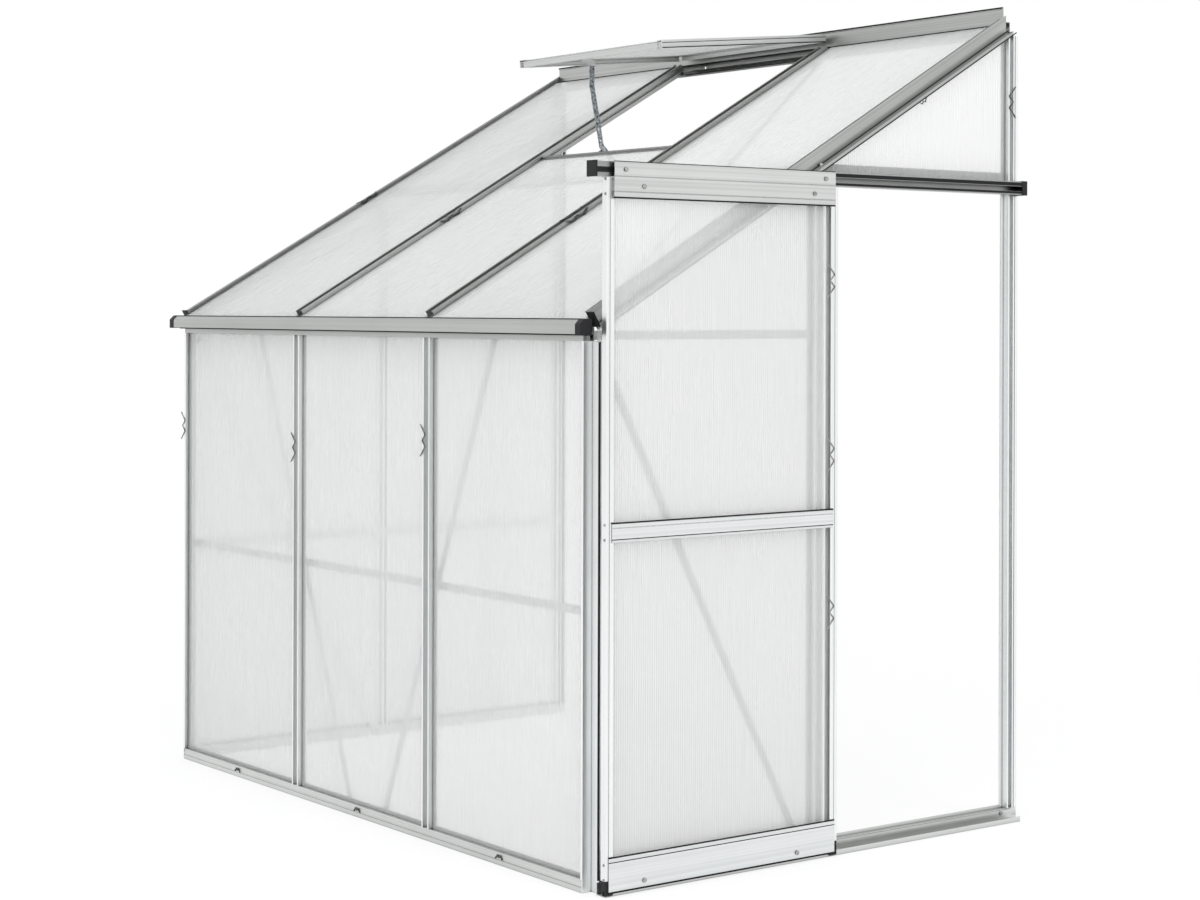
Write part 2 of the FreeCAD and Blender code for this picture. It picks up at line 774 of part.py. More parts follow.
# Rafter: the roof panes' groove on its inner side, a flange out to the gable face and, under it,
# the slot that takes the gable panes' sloping edge.
def rafter():
    side = d.rafter_in
    inner = d.rafter_in + d.wall
    return [
        (inner + d.lip + d.wall, 0),
        (side, 0),
        (side, d.rafter_depth),
        (0, d.rafter_depth),
        (0, rafter_low),
        (d.wall, rafter_low),
        (d.wall, d.rafter_depth + d.wall),
        (back, d.rafter_depth + d.wall),
        (back, rafter_low),
        (back + d.wall, rafter_low),
        (back + d.wall, d.rafter_depth + d.wall),
        (inner, d.rafter_depth + d.wall),
        (inner, d.bar_depth),
        (inner + d.flange, d.bar_depth),
        (inner + d.flange, d.bar_depth - d.wall),
        (inner, d.bar_depth - d.wall),
        (inner, back + d.wall),
        (inner + d.flange, back + d.wall),
        (inner + d.flange, back),
        (inner, back),
        (inner, d.wall),
        (inner + d.lip + d.wall, d.wall),
    ]


# Everything beyond an upright plane across the slope, drawn in a bar's own tilted frame.
def past_upright(distance, beyond):
    deep = rafter_low + 1
    start = d.bar_set_in
    return [((distance + roof_sin) / roof_cos - start, 1),
            ((distance - deep * roof_sin) / roof_cos - start, -deep),
            (beyond, -deep),
            (beyond, 1)]


rafter_end = d.depth - d.rafter_gap
rafter_length = rafter_end / roof_cos - d.bar_set_in
for label, side in (("near_gable_rafter", 1), ("far_gable_rafter", -1)):
    outline = [(-side * a, -b) for a, b in rafter()]
    body = bar(label, "Y", outline, 0, rafter_length,
               base=(side * half_length,) + roof_start, tilt=pitch)
    beyond = rafter_length + 1
    # It is cut upright at the wall end, and its inner lips stop before the ridge beam.
    cut(body, "X", [past_upright(rafter_end, beyond)], -d.notch_x - d.flange, 2 * (d.notch_x + d.flange))
    lips_deep = d.flange + 1
    lips_from = -d.rafter_in - d.wall - lips_deep if side > 0 else d.rafter_in + d.wall
    cut(body, "X", [past_upright(roof_run - d.ridge_gap, beyond)], lips_from, lips_deep)

# A black plate closes each rafter's lower end.
for label, side in (("rafter_plate_near", 1), ("rafter_plate_far", -1)):
    outline = [(-side * a, b) for a, b in rectangle(0, d.rafter_in + d.wall, -d.rafter_depth, 0)]
    caps.append(bar(label, "Y", outline, -d.plate_thick, d.plate_thick,
                    base=(side * half_length,) + roof_start, tilt=pitch))
members("gutter_caps", caps)

for label, x in (("roof_bar_1", -bay / 2), ("roof_bar_2", bay / 2)):
    outline = [(a, -b) for a, b in glazing_bar()]
    bar(label, "Y", outline, 0, bar_length, base=(x,) + roof_start, tilt=pitch)


# A point on the roof: distance up the slope from the front face, depth under the roof plane.
def roof_point(x, along, depth):
    return (x, front_y + along * roof_cos + depth * roof_sin,
            d.eave_top + along * roof_sin - depth * roof_cos)


# Vent sill: holds the short pane's top edge and closes against the vent's free edge.
sill_width = d.vent_sill_width
vent_sill_outline = [
    (-d.lip, d.seat - d.wall),
    (-d.lip, d.seat),
    (0, d.seat),
    (0, back),
    (sill_width, back),
    (sill_width, back - d.wall),
    (d.wall, back - d.wall),
    (d.wall, d.vent_sill_top + d.wall),
    (sill_width / 2, d.vent_sill_top + d.wall),
    (sill_width / 2, d.vent_sill_top),
    (0, d.vent_sill_top),
    (0, d.seat - d.wall),
]
vent_sill_half = bay / 2 - half_bar - d.pane_gap / 2
bar("vent_sill", "X", [(a, -b) for a, b in vent_sill_outline], -vent_sill_half, 2 * vent_sill_half,
    base=roof_point(0, vent_sill_at, 0), tilt=pitch)

# Flat strips inside the frame
strip_half = d.strip_wide / 2
first_layer = d.bar_depth
second_layer = d.bar_depth + d.strip_thick
layer_three = second_layer + d.strip_thick

rail_half = half_length - d.bar_depth - 2 * d.strip_thick - d.pane_gap
bar("front_mid_rail", "Y",
    rectangle(-rail_half, rail_half, d.rail_height - strip_half, d.rail_height + strip_half),
    second_layer, d.strip_thick, base=(0, front_y, 0))

gable_rail_end = d.depth - d.wall_post_gap - d.wall_rib / 2
bar("far_gable_mid_rail", "X",
    rectangle(layer_three + d.pane_gap, gable_rail_end, d.rail_height - strip_half,
              d.rail_height + strip_half),
    second_layer, d.strip_thick, base=(-half_length, front_y, 0))

rails = []
for label, side in (("gable_eave_rail_near", 1), ("gable_eave_rail_far", -1)):
    start = -second_layer if side > 0 else d.bar_depth
    rails.append(bar(label, "X",
                     rectangle(d.bar_depth, d.depth / 2 + d.channel,
                               d.eave_rail_height - strip_half, d.eave_rail_height + strip_half),
                     start, d.strip_thick, base=(side * half_length, front_y, 0)))
members("gable_eave_rails", rails)

purlin_half = half_length - d.rafter_in - d.wall - d.pane_gap
bar("roof_purlin", "Z",
    rectangle(-purlin_half, purlin_half, -strip_half, strip_half),
    -layer_three, d.strip_thick, base=roof_point(0, d.purlin_at, 0), tilt=pitch)

# The front braces make a V: each falls from a post to near the middle of the sill.
brace_high = d.eave_low + strip_half
brace_low = d.foot_wall + strip_half + d.pane_gap
brace_out = bay * 0.9
brace_in = bay / 8
for label, side in (("front_brace_far", -1), ("front_brace_near", 1)):
    points = [(side * brace_out, brace_high), (side * brace_in, brace_low)]
    bar(label, "Y", band(points, d.strip_wide), first_layer, d.strip_thick, base=(0, front_y, 0))

# The roof braces fall from the inner bars' upper ends to the eave corners.
for label, side in (("roof_brace_far", -1), ("roof_brace_near", 1)):
    points = [(side * (bay / 2 + strip_half), bar_stop - 2 * d.strip_wide),
              (side * (half_length - d.rafter_in - d.flange - strip_half), corner_in + strip_half)]
    bar(label, "Z", band(points, d.strip_wide), -second_layer, d.strip_thick,
        base=(0, front_y, d.eave_top), tilt=pitch)

for label, side in (("gable_brace_near", 1), ("gable_brace_far", -1)):
    points = [(d.bar_depth + 1.5 * strip_half, d.eave_low - 2 * strip_half),
              (d.depth / 2 - d.bar_width, brace_low)]
    start = -second_layer if side > 0 else d.bar_depth
    bar(label, "X", band(points, d.strip_wide), start, d.strip_thick,
        base=(side * half_length, front_y, 0))

# Panes
front_edges = [
    (-half_length + corner_in + d.pane_gap, -bay / 2 - half_bar - d.pane_gap),
    (-bay / 2 + half_bar + d.pane_gap, bay / 2 - half_bar - d.pane_gap),
    (bay / 2 + half_bar + d.pane_gap, half_length - corner_in - d.pane_gap),
]
for index, (low, high) in enumerate(front_edges, start=1):
    bar(f"front_pane_{index}", "Y",
        rectangle(low, high, d.sill_top, d.gutter_floor - d.pane_gap),
        d.seat, d.pane, base=(0, front_y, 0))

pane_stop = bar_stop + d.seat
roof_edge = half_length - d.rafter_in - d.wall - d.pane_gap
roof_edges = [
    (-roof_edge, -bay / 2 - half_bar - d.pane_gap, pane_stop),
    (-bay / 2 + half_bar + d.pane_gap, bay / 2 - half_bar - d.pane_gap, vent_sill_at - d.pane_gap),
    (bay / 2 + half_bar + d.pane_gap, roof_edge, pane_stop),
]
for index, (low, high, stop) in enumerate(roof_edges, start=1):
    bar(f"roof_pane_{index}", "Z",
        rectangle(low, high, -d.overhang, stop),
        -back, d.pane, base=(0, front_y, d.eave_top), tilt=pitch)

# Gable panes: upright sides, with a top edge that follows the rafter.
gable_slot = d.rafter_depth + d.wall + d.pane_gap


def gable_pane(low, high, bottom):
    return [(low, bottom), (high, bottom), (high, roof_z(high, gable_slot)),
            (low, roof_z(low, gable_slot))]


eave_side = (corner_back + d.pane_gap, d.depth / 2 - half_bar - d.pane_gap)
wall_side = (d.depth / 2 + half_bar + d.pane_gap,
             d.depth - d.wall_post_gap - d.wall_rib - d.pane_gap)
pane_in = d.seat + d.pane
bar("near_gable_pane", "X", gable_pane(*eave_side, d.sill_top), -pane_in, d.pane,
    base=(half_length, front_y, 0))
bar("doorway_pane", "X", gable_pane(*wall_side, d.track_low + d.wall), -pane_in, d.pane,
    base=(half_length, front_y, 0))
far_panes = [
    bar(f"far_gable_pane_{index}", "X", gable_pane(*edges, d.sill_top), d.seat, d.pane,
        base=(-half_length, front_y, 0))
    for index, edges in enumerate((eave_side, wall_side), start=1)
]
members("far_gable_panes", far_panes)

# Door tracks: the upper one is a channel whose slot faces out, the lower one a drip sill with
# a lip that the door's guides straddle.

track_outline = [
    (0, 0),
    (d.track_reach, 0),
    (d.track_reach, d.track_low_lip),
    (d.track_reach - d.wall, d.track_low_lip),
    (d.track_reach - d.wall, d.wall),
    (d.wall, d.wall),
    (d.wall, d.track_height - d.wall),
    (d.track_reach - d.wall, d.track_height - d.wall),
    (d.track_reach - d.wall, d.track_height - d.track_high_lip),
    (d.track_reach, d.track_height - d.track_high_lip),
    (d.track_reach, d.track_height),
    (0, d.track_height),
]
track_end = d.depth - d.wall
bar("top_door_track", "Y", track_outline, -d.track_ahead, track_end + d.track_ahead,
    base=(half_length, front_y, d.track_low))

low_track_outline = [
    (0, 0),
    (d.low_track_reach, 0),
    (d.low_track_reach, d.low_track_lip),
    (d.low_track_reach - d.wall, d.low_track_lip),
    (d.low_track_reach - d.wall, d.wall),
    (d.wall, d.wall),
    (d.wall, d.sill_top - d.wall),
    (0, d.sill_top - d.wall),
]
bar("bottom_door_track", "Y", low_track_outline, d.low_track_front,
    d.depth - d.low_track_front - d.low_track_wall, base=(half_length, front_y, 0))

# Black end pieces: a cup over each end of the upper track and a grooved buffer in its front mouth.
cup_wall = d.wall * 0.75
cup_side = [
    (0, -cup_wall),
    (d.track_reach + cup_wall, -cup_wall),
    (d.track_reach + cup_wall, d.track_height + cup_wall),
    (0, d.track_height + cup_wall),
    (0, d.track_height),
    (d.track_reach, d.track_height),
    (d.track_reach, 0),
    (0, 0),
]
cup_end = rectangle(0, d.track_reach + cup_wall, -cup_wall, d.track_height + cup_wall)
track_base = (half_length, front_y, d.track_low)
front_cup = bar("front_cup", "Y", cup_side, -d.track_ahead, d.cup_front, base=track_base)
add_bar(front_cup, "Y", cup_end, -d.track_ahead - d.wall, d.wall)
wall_cup = bar("wall_cup", "Y", cup_side, track_end - d.cup_wall, d.cup_wall, base=track_base)
add_bar(wall_cup, "Y", cup_end, track_end, d.wall)
buffer_start = d.cup_front - d.track_ahead
buffer_low = d.track_low_lip + d.buffer_gap
buffer_high = d.track_height - d.track_high_lip - d.buffer_gap
front_buffer = bar("front_buffer", "Y",
                   rectangle(d.track_reach * 0.4, d.track_reach, buffer_low, buffer_high),
                   buffer_start, d.buffer_length, base=track_base)
buffer_middle = (buffer_low + buffer_high) / 2
cut(front_buffer, "X",
    [rectangle(buffer_start + d.buffer_length * 0.2, buffer_start + d.buffer_length * 0.85,
               buffer_middle - d.wall, buffer_middle + d.wall)],
    d.track_reach - d.wall, 2 * d.wall)
members("track_stops", [front_cup, wall_cup, front_buffer])

# Door, stored fully open. Its stiles carry rails that lie over their faces.
stile_height = d.stile_high - d.stile_low


# First figure in from the door's edge, second in from the stile's outer face.
def stile():
    rib = d.stile_face - d.lip - 1.5 * d.wall
    face_line = d.stile_face * 0.4
    return [
        (0, 0),
        (face_line, 0),
        (face_line, d.wall / 2),
        (face_line + 1.5, d.wall / 2),
        (face_line + 1.5, 0),
        (d.stile_face, 0),
        (d.stile_face, d.wall),
        (rib, d.wall),
        (rib, d.stile_depth - d.wall),
        (rib + d.ledge + d.wall, d.stile_depth - d.wall),
        (rib + d.ledge + d.wall, d.stile_depth),
        (rib - d.wall, d.stile_depth),
        (rib - d.wall, d.wall),
        (d.wall, d.wall),
        (d.wall, d.stile_depth),
        (0, d.stile_depth),
    ]


door_base = (stile_out, door_y, 0)
bar("door_stile_front", "Z", [(-b, a) for a, b in stile()], d.stile_low, stile_height,
    base=door_base)
bar("door_stile_wall", "Z", [(-b, d.door_width - a) for a, b in stile()], d.stile_low, stile_height,
    base=door_base)

pane_out = d.stile_depth - d.wall - d.pane


# A rail is a ribbed plate with legs back to the stiles; between the stiles its glazing legs run on
# to the pane. First figure out from the rail's face, second the height.
def rail(low, high, top_leg, low_leg, lines, stand):
    leg_out = stand + pane_out
    outline = [(0, low)]
    for line in lines:
        outline += [(0, line), (-d.wall / 2, line), (-d.wall / 2, line + d.wall), (0, line + d.wall)]
    outline += [(0, high)]
    if top_leg == "glazing":
        outline += [(-leg_out, high), (-leg_out, high - d.wall)]
    else:
        outline += [(-2 * d.wall, high), (-2 * d.wall, high - d.wall)]
    outline += [(-d.wall, high - d.wall)]
    if top_leg == "hanger":
        shoulder = d.stile_high - d.wall / 2
        outline += [(-d.wall, shoulder), (-stand, shoulder), (-stand, shoulder - d.wall),
                    (-d.wall, shoulder - d.wall)]
    outline += [(-d.wall, low + d.wall)]
    depth = leg_out if low_leg == "glazing" else 2 * d.wall
    outline += [(-depth, low + d.wall), (-depth, low)]
    return outline


# The upper rail hangs proud of the stiles; the two others lie flat on them.
line_in = 10
door_rails = {
    "door_top_rail": (d.top_rail_low, d.top_rail_high, "hanger", "glazing",
                      [d.top_rail_low + line_in, d.stile_high + 1],
                      d.rail_stand, d.rail_end, d.rail_end),
    "door_mid_rail": (d.mid_rail_low, d.mid_rail_high, "glazing", "glazing",
                      [d.mid_rail_low + line_in / 2, d.mid_rail_high - line_in],
                      d.wall, d.rail_end, d.rail_end),
    "door_bottom_rail": (d.low_rail_low, d.low_rail_high, "glazing", "plain",
                         [d.low_rail_high - line_in],
                         d.wall, d.low_rail_end, d.low_rail_end),
}
for label, (low, high, top_leg, low_leg, lines, stand, first, last) in door_rails.items():
    rail_length = d.door_width - first - last
    body = bar(label, "Y", rail(low, high, top_leg, low_leg, lines, stand), 0, rail_length,
               base=(stile_out + stand, door_y + first, 0))
    # Where a rail lies on the stiles, its glazing legs are cut back to their faces.
    leg_end = -stand - pane_out - 1
    cut(body, "Z",
        [rectangle(leg_end, -stand, -1, d.stile_face - first + d.pane_gap),
         rectangle(leg_end, -stand, rail_length - d.stile_face + last - d.pane_gap, rail_length + 1)],
        low - 1, high - low + 2)

stile_rib = d.stile_face - d.lip - 1.5 * d.wall
door_pane_edge = (stile_rib + d.pane_gap, d.door_width - stile_rib - d.pane_gap)
mid_rail_middle = (d.mid_rail_low + d.mid_rail_high) / 2
for label, low, high in (
        ("door_pane_upper", mid_rail_middle + d.pane_gap / 2, d.top_rail_low + d.seat),
        ("door_pane_lower", d.low_rail_high - d.seat, mid_rail_middle - d.pane_gap / 2)):
    bar(label, "X", rectangle(*door_pane_edge, low, high), -pane_out - d.pane, d.pane,
        base=door_base)

# Guides under the stiles straddle the lower track's lip.
guide_low = d.wall + d.guide_clearance
guide_mid = d.low_track_lip + d.guide_clearance
lip_in = d.low_track_reach - d.wall - d.guide_clearance
lip_out = d.low_track_reach + d.guide_clearance
guide_in = d.door_gap + 2 * d.wall
guide_out = d.door_gap + d.stile_depth
guide_outline = [
    (guide_in, guide_low),
    (lip_in, guide_low),
    (lip_in, guide_mid),
    (lip_out, guide_mid),
    (lip_out, guide_low),
    (guide_out, guide_low),
    (guide_out, d.stile_low),
    (guide_in, d.stile_low),
]
guides = [
    bar(f"guide_{index}", "Y", guide_outline, start, d.stile_face,
        base=(half_length, door_y, 0))
    for index, start in enumerate((as_size(0), d.door_width - d.stile_face), start=1)
]
members("door_guides", guides)

# Rollers: each wheel runs inside the upper track on an axle that comes through its slot.

wheel_radius = d.axle_height - d.wall - d.wheel_clearance
wheel_half = d.wheel_width / 2
bore = d.axle_radius + d.pin_clearance
wheel_x = half_length + d.track_reach / 2
axle_inset = d.rail_end + d.axle_inset
wheel_ys = {"door_wheel_front": door_y + axle_inset,
            "door_wheel_wall": door_y + d.door_width - axle_inset}
wheel_outline = [
    (-wheel_half, bore),
    (wheel_half, bore),
    (wheel_half, d.axle_radius * 2),
    (wheel_half * 0.4, d.axle_radius * 2),
    (wheel_half * 0.4, wheel_radius * 0.75),
    (wheel_half, wheel_radius * 0.75),
    (wheel_half, wheel_radius),
    (-wheel_half, wheel_radius),
    (-wheel_half, wheel_radius * 0.75),
    (-wheel_half * 0.4, wheel_radius * 0.75),
    (-wheel_half * 0.4, d.axle_radius * 2),
    (-wheel_half, d.axle_radius * 2),
]
for label, y in wheel_ys.items():
    body = new_body(label, base=(wheel_x, y, axle_z))
    sketch = new_sketch(body, "Z", 0)
    draw_outlines(sketch, [wheel_outline])
    turning = body.newObject("PartDesign::Revolution", f"{label}_Turn")
    turning.Profile = sketch
    turning.ReferenceAxis = (sketch, ["H_Axis"])
    turning.Angle = 360

# Vent, drawn flat about its hinge and stored propped open
vent_tilt = pitch - d.vent_open
vent_base = (0, hinge_y, hinge_z)
vent_half = d.vent_width / 2
half_depth = d.vent_depth / 2
groove_high = half_depth - d.wall
groove_low = groove_high - d.pane


# Frame section: first figure in from the outer edge, second up from the middle.
def vent_bar_outline(with_foot):
    outline = [(0, -half_depth)]
    if with_foot:
        outline += [(d.ledge, -half_depth), (d.ledge, -half_depth + d.wall),
                    (d.wall, -half_depth + d.wall)]
    else:
        outline += [(d.wall, -half_depth)]
    return outline + [
        (d.wall, groove_low - d.wall),
        (d.vent_bar, groove_low - d.wall),
        (d.vent_bar, groove_low),
        (d.wall, groove_low),
        (d.wall, groove_high),
        (d.vent_bar, groove_high),
        (d.vent_bar, half_depth),
        (0, half_depth),
    ]


neck_half = d.wall / 2
hinge_frame = [(-d.neck - a, b) for a, b in vent_bar_outline(False)]
hinge_bar_outline = hinge_frame + [(-d.neck, neck_half), (-d.wall, neck_half),
                                   (-d.wall, -neck_half), (-d.neck, -neck_half)]
hinge_bar = bar("vent_hinge_bar", "X", hinge_bar_outline, -hinge_half, 2 * hinge_half,
                base=vent_base, tilt=vent_tilt)
add_rod(hinge_bar, "X", (0, 0), d.bead_radius, -hook_half, 2 * hook_half)

side_bars = []
for label, side in (("vent_side_far", -1), ("vent_side_near", 1)):
    outline = [(side * (vent_half - a), b) for a, b in vent_bar_outline(True)]
    side_bars.append(bar(label, "Y", outline, -d.vent_length, d.vent_length - d.neck,
                         base=vent_base, tilt=vent_tilt))
members("vent_side_bars", side_bars)

# The free edge's bar lies under the pane, which runs on over it.
edge_section = [
    (0, -half_depth),
    (d.ledge, -half_depth),
    (d.ledge, -half_depth + d.wall),
    (d.wall, -half_depth + d.wall),
    (d.wall, groove_low - d.wall),
    (d.vent_bar, groove_low - d.wall),
    (d.vent_bar, groove_low),
    (0, groove_low),
]
edge_outline = [(a - d.vent_length, b) for a, b in edge_section]
edge_bar = bar("vent_edge_bar", "X", edge_outline, -hinge_half, 2 * hinge_half,
               base=vent_base, tilt=vent_tilt)
stay_at = d.vent_length - d.stay_from_edge
pivot_low = -half_depth - d.stay_drop
lug_half = d.pin_radius * 2.5
lug_in = d.stay_thick / 2 + d.wheel_clearance
lug = [(-d.vent_length + d.wall, -half_depth),
       (-d.vent_length + d.wall, -half_depth + 2 * d.wall),
       (-stay_at + lug_half, pivot_low + lug_half),
       (-stay_at + lug_half, pivot_low - lug_half / 2),
       (-stay_at + lug_half / 2, pivot_low - lug_half),
       (-stay_at - lug_half / 2, pivot_low - lug_half)]
add_bar(edge_bar, "X", lug, lug_in - d.stay_aside, d.wall)
pin_length = 2 * lug_in + d.wall + d.stay_thick
add_rod(edge_bar, "X", (-stay_at, pivot_low), d.pin_radius,
        lug_in + d.wall - pin_length - d.stay_aside, pin_length)

vent_pane_half = vent_half - d.wall - d.pane_gap
bar("vent_pane", "Z",
    rectangle(-vent_pane_half, vent_pane_half, -d.vent_length,
              -d.neck - d.wall - d.pane_gap),
    groove_low, d.pane, base=vent_base, tilt=vent_tilt)

# Stay: a twice bent flat arm on the vent's pin, hanging behind the vent sill beside its peg.
tilt_cos = cosine(vent_tilt)
tilt_sin = sine(vent_tilt)
stay_base = (-d.stay_aside, hinge_y - stay_at * tilt_cos - pivot_low * tilt_sin,
             hinge_z - stay_at * tilt_sin + pivot_low * tilt_cos)
above = (0, d.stay_width / 2)
knee = (as_size(0), -d.stay_upper)
middle_run = (sine(d.stay_middle_lean), -1 * cosine(d.stay_middle_lean))
crook = (knee[0] + d.stay_middle * middle_run[0], knee[1] + d.stay_middle * middle_run[1])
tip = (crook[0] + d.stay_lower * sine(d.stay_lower_lean), crook[1] - d.stay_lower * cosine(d.stay_lower_lean))
stay_arm = bar("stay_arm", "X", band([above, knee, crook, tip], d.stay_width), -d.stay_thick / 2,
               d.stay_thick, base=stay_base)
drill(stay_arm, "X", [(0, 0)], d.pin_radius + d.pin_clearance, -d.stay_thick, 2 * d.stay_thick)
hole_shares = [d.stay_middle - d.stay_hole_pitch * (step + 0.5) for step in range(4)]
drill(stay_arm, "X",
      [(knee[0] + share * middle_run[0], knee[1] + share * middle_run[1]) for share in hole_shares],
      d.peg_radius + d.pin_clearance, -d.stay_thick, 2 * d.stay_thick)

# The peg's bracket sits in the vent sill's channel.
peg_clear = d.stay_thick / 2 + d.wheel_clearance
bracket_in = peg_clear + d.wall / 2
bracket = bar("stay_bracket", "X",
              rectangle(d.wall, sill_width + d.bracket_reach, -back + d.wall,
                        -d.vent_sill_top - d.wall),
              -bracket_in - d.wall, d.wall, base=roof_point(-d.stay_aside, vent_sill_at, 0), tilt=pitch)
peg_place = (sill_width + d.peg_reach, (d.vent_sill_top + back) / -2)
add_rod(bracket, "X", peg_place, d.peg_radius, -bracket_in - d.wall / 2,
        bracket_in + d.wall / 2 - peg_clear)

# Small fasteners and glazing clips, placed on the faces they hold
def mm(size):
    return as_size(size).value


def vector(x, y, z):
    return FreeCAD.Vector(mm(x), mm(y), mm(z))


def round_head(place, direction, radius, height):
    return Part.makeCylinder(radius, height, place, direction)


def hexagon_head(place, direction, across, height):
    turn = FreeCAD.Rotation(FreeCAD.Vector(0, 0, 1), direction)
    corners = [place + turn.multVec(FreeCAD.Vector(across / 2 * math.cos(math.radians(60 * step)),
                                                   across / 2 * math.sin(math.radians(60 * step)), 0))
               for step in range(7)]
    return Part.Face(Part.makePolygon(corners)).extrude(direction * height)


# A wire clip bent to a W: its feet lie under a bar's lip and its two peaks press on the pane.
def wire_clip(place, across, along, reach=d.clip_reach, rise=d.clip_rise):
    shape = [(-1, 0), (-0.37, 1), (0, 0.36), (0.37, 1), (1, 0)]
    half = mm(d.wire) / 2
    line = [(mm(reach) * a, mm(rise) * b) for a, b in shape]
    loop = [(a, b + half) for a, b in line] + [(a, b - half) for a, b in line[::-1]]
    corners = [place + along * a + across * b for a, b in loop]
    corners.append(corners[0])
    outward = across.cross(along).normalize()
    return Part.Face(Part.makePolygon(corners)).extrude(outward * mm(d.wire))


def fixed(label, solids):
    feature = doc.addObject("Part::Feature", label)
    feature.Label = label
    feature.Shape = Part.makeCompound(solids)
    feature.Placement = FreeCAD.Placement()
    nodes.append(feature)
    return feature


x_axis = FreeCAD.Vector(1, 0, 0)
y_axis = FreeCAD.Vector(0, 1, 0)
z_axis = FreeCAD.Vector(0, 0, 1)
up_slope = FreeCAD.Vector(0, mm(roof_cos), mm(roof_sin))
roof_out = FreeCAD.Vector(0, -mm(roof_sin), mm(roof_cos))


def frame_bolt(place, direction):
    return hexagon_head(place, direction, mm(d.head_across), mm(d.head_height))


bolts = []
front_face = front_y + layer_three
for x in (-bay / 2, bay / 2, -rail_half + half_bar, rail_half - half_bar):
    bolts.append(frame_bolt(vector(x, front_face, d.rail_height), y_axis))
brace_face = front_y + second_layer
brace_foot = brace_low + d.wall
for side in (-1, 1):
    for x, z in ((brace_out, brace_high), (brace_in, brace_foot)):
        bolts.append(frame_bolt(vector(side * x, brace_face, z), y_axis))
    inner_x = side * (half_length - second_layer)
    inwards = x_axis * -side
    bolts.append(frame_bolt(vector(inner_x, mid_y, d.eave_rail_height), inwards))
    bolts.append(frame_bolt(vector(inner_x, front_y + d.bar_depth + half_bar, d.eave_low - d.strip_wide),
                            inwards))
    bolts.append(frame_bolt(vector(inner_x, mid_y - d.bar_width, brace_foot), inwards))
    under = roof_point(side * bay / 2, d.purlin_at, layer_three)
    bolts.append(frame_bolt(vector(*under), roof_out * -1))
    upper = roof_point(side * (bay / 2 + half_bar - d.lip), bar_stop - d.screw_radius, 0)
    bolts.append(round_head(vector(*upper), roof_out, mm(d.screw_radius) * 0.7, mm(d.screw_height)))
bolts.append(round_head(vector(half_length + d.wall, wall_y - 2 * d.sill_top, d.sill_top * 0.7), x_axis,
                        mm(d.screw_radius), mm(d.screw_height)))
fixed("frame_bolts", bolts)

# Clips: each place is a share of the bar it sits on.
clips = []
clip_half = d.clip_rise / 2
for x, share in ((-half_length + d.notch_x - d.clip_rise + d.lip, 0.782),
                 (-bay / 2 - half_bar - clip_half + d.lip / 2, 0.756),
                 (bay / 2 - half_bar - clip_half + d.lip / 2, 0.795)):
    clips.append(wire_clip(vector(x, front_y, d.eave_low * share), x_axis, z_axis))
for x in (-bay, as_size(0), bay):
    clips.append(wire_clip(vector(x, front_y, d.sill_top / 2), z_axis, -1 * x_axis,
                           d.small_clip_reach, d.small_clip_rise))
for x, share in ((-half_length + d.rafter_in + d.wall, 0.468), (-bay / 2 - d.lip, 0.368),
                 (bay / 2 - half_bar + d.lip, 0.341)):
    clips.append(wire_clip(vector(*roof_point(x, bar_stop * share, 0)), x_axis, up_slope))
gable_clip = d.depth * 0.75
clips.append(wire_clip(vector(half_length, front_y + gable_clip, roof_z(gable_clip, rafter_low - d.wall)),
                       roof_out * -1, up_slope, d.small_clip_reach, d.small_clip_rise))
clips.append(wire_clip(vector(half_length, wall_y - d.wall_plate_stand, ridge_low * 0.915),
                       -y_axis, -z_axis))
fixed("frame_clips", clips)

# Door: a fixed axle with two collars and a head for each roller, screws in the rails and stiles.
screws = []
screw = (mm(d.screw_radius), mm(d.screw_height))
small_screw = (mm(d.small_screw_radius), mm(d.small_screw_height))
wheel_side = mm(wheel_half) + mm(d.wheel_clearance)
axle_start = mm(wheel_x) - wheel_side
collar_start = mm(wheel_x) + wheel_side
collar_radius = mm(d.axle_radius) + mm(d.wall)
thick = mm(d.wall)
for y in wheel_ys.values():
    rod = Part.makeCylinder(mm(d.axle_radius), mm(door_out - d.wall) - axle_start,
                            vector(axle_start, y, axle_z), x_axis)
    inner_collar = Part.makeCylinder(collar_radius, thick, vector(axle_start - thick, y, axle_z), x_axis)
    outer_collar = Part.makeCylinder(collar_radius, thick, vector(collar_start, y, axle_z), x_axis)
    screws.append(rod.fuse([inner_collar, outer_collar]).removeSplitter())
    screws.append(round_head(vector(door_out, y, axle_z), x_axis, *screw))
door_end = door_y + d.door_width
for y, z in ((door_y + d.top_screw_front, d.top_rail_low + d.top_screw_up),
             (door_end - d.top_screw_wall, d.top_rail_low + d.top_screw_up)):
    screws.append(round_head(vector(door_out, y, z), x_axis, *screw))
for y in (door_y + d.low_screw_front, door_end - d.low_screw_wall):
    low_screw = vector(stile_out + d.wall, y, d.low_rail_low + d.low_screw_up)
    screws.append(round_head(low_screw, x_axis, *screw))
for y, direction in ((door_y, -y_axis), (door_end, y_axis)):
    for z in (d.stile_high - d.wall * 2, d.top_rail_low + d.wall * 3, d.mid_rail_high - d.wall,
              d.mid_rail_low + d.wall * 3, d.low_rail_high - d.low_screw_up,
              d.low_rail_low + 2 * d.low_screw_up):
        screws.append(round_head(vector(stile_out - d.stile_depth / 3, y, z), direction, *small_screw))
for share in (0.86, 0.6, 0.365):
    screws.append(wire_clip(vector(stile_out, door_end - d.stile_face - clip_half, d.stile_high * share),
                            y_axis, z_axis))
fixed("door_fasteners", screws)

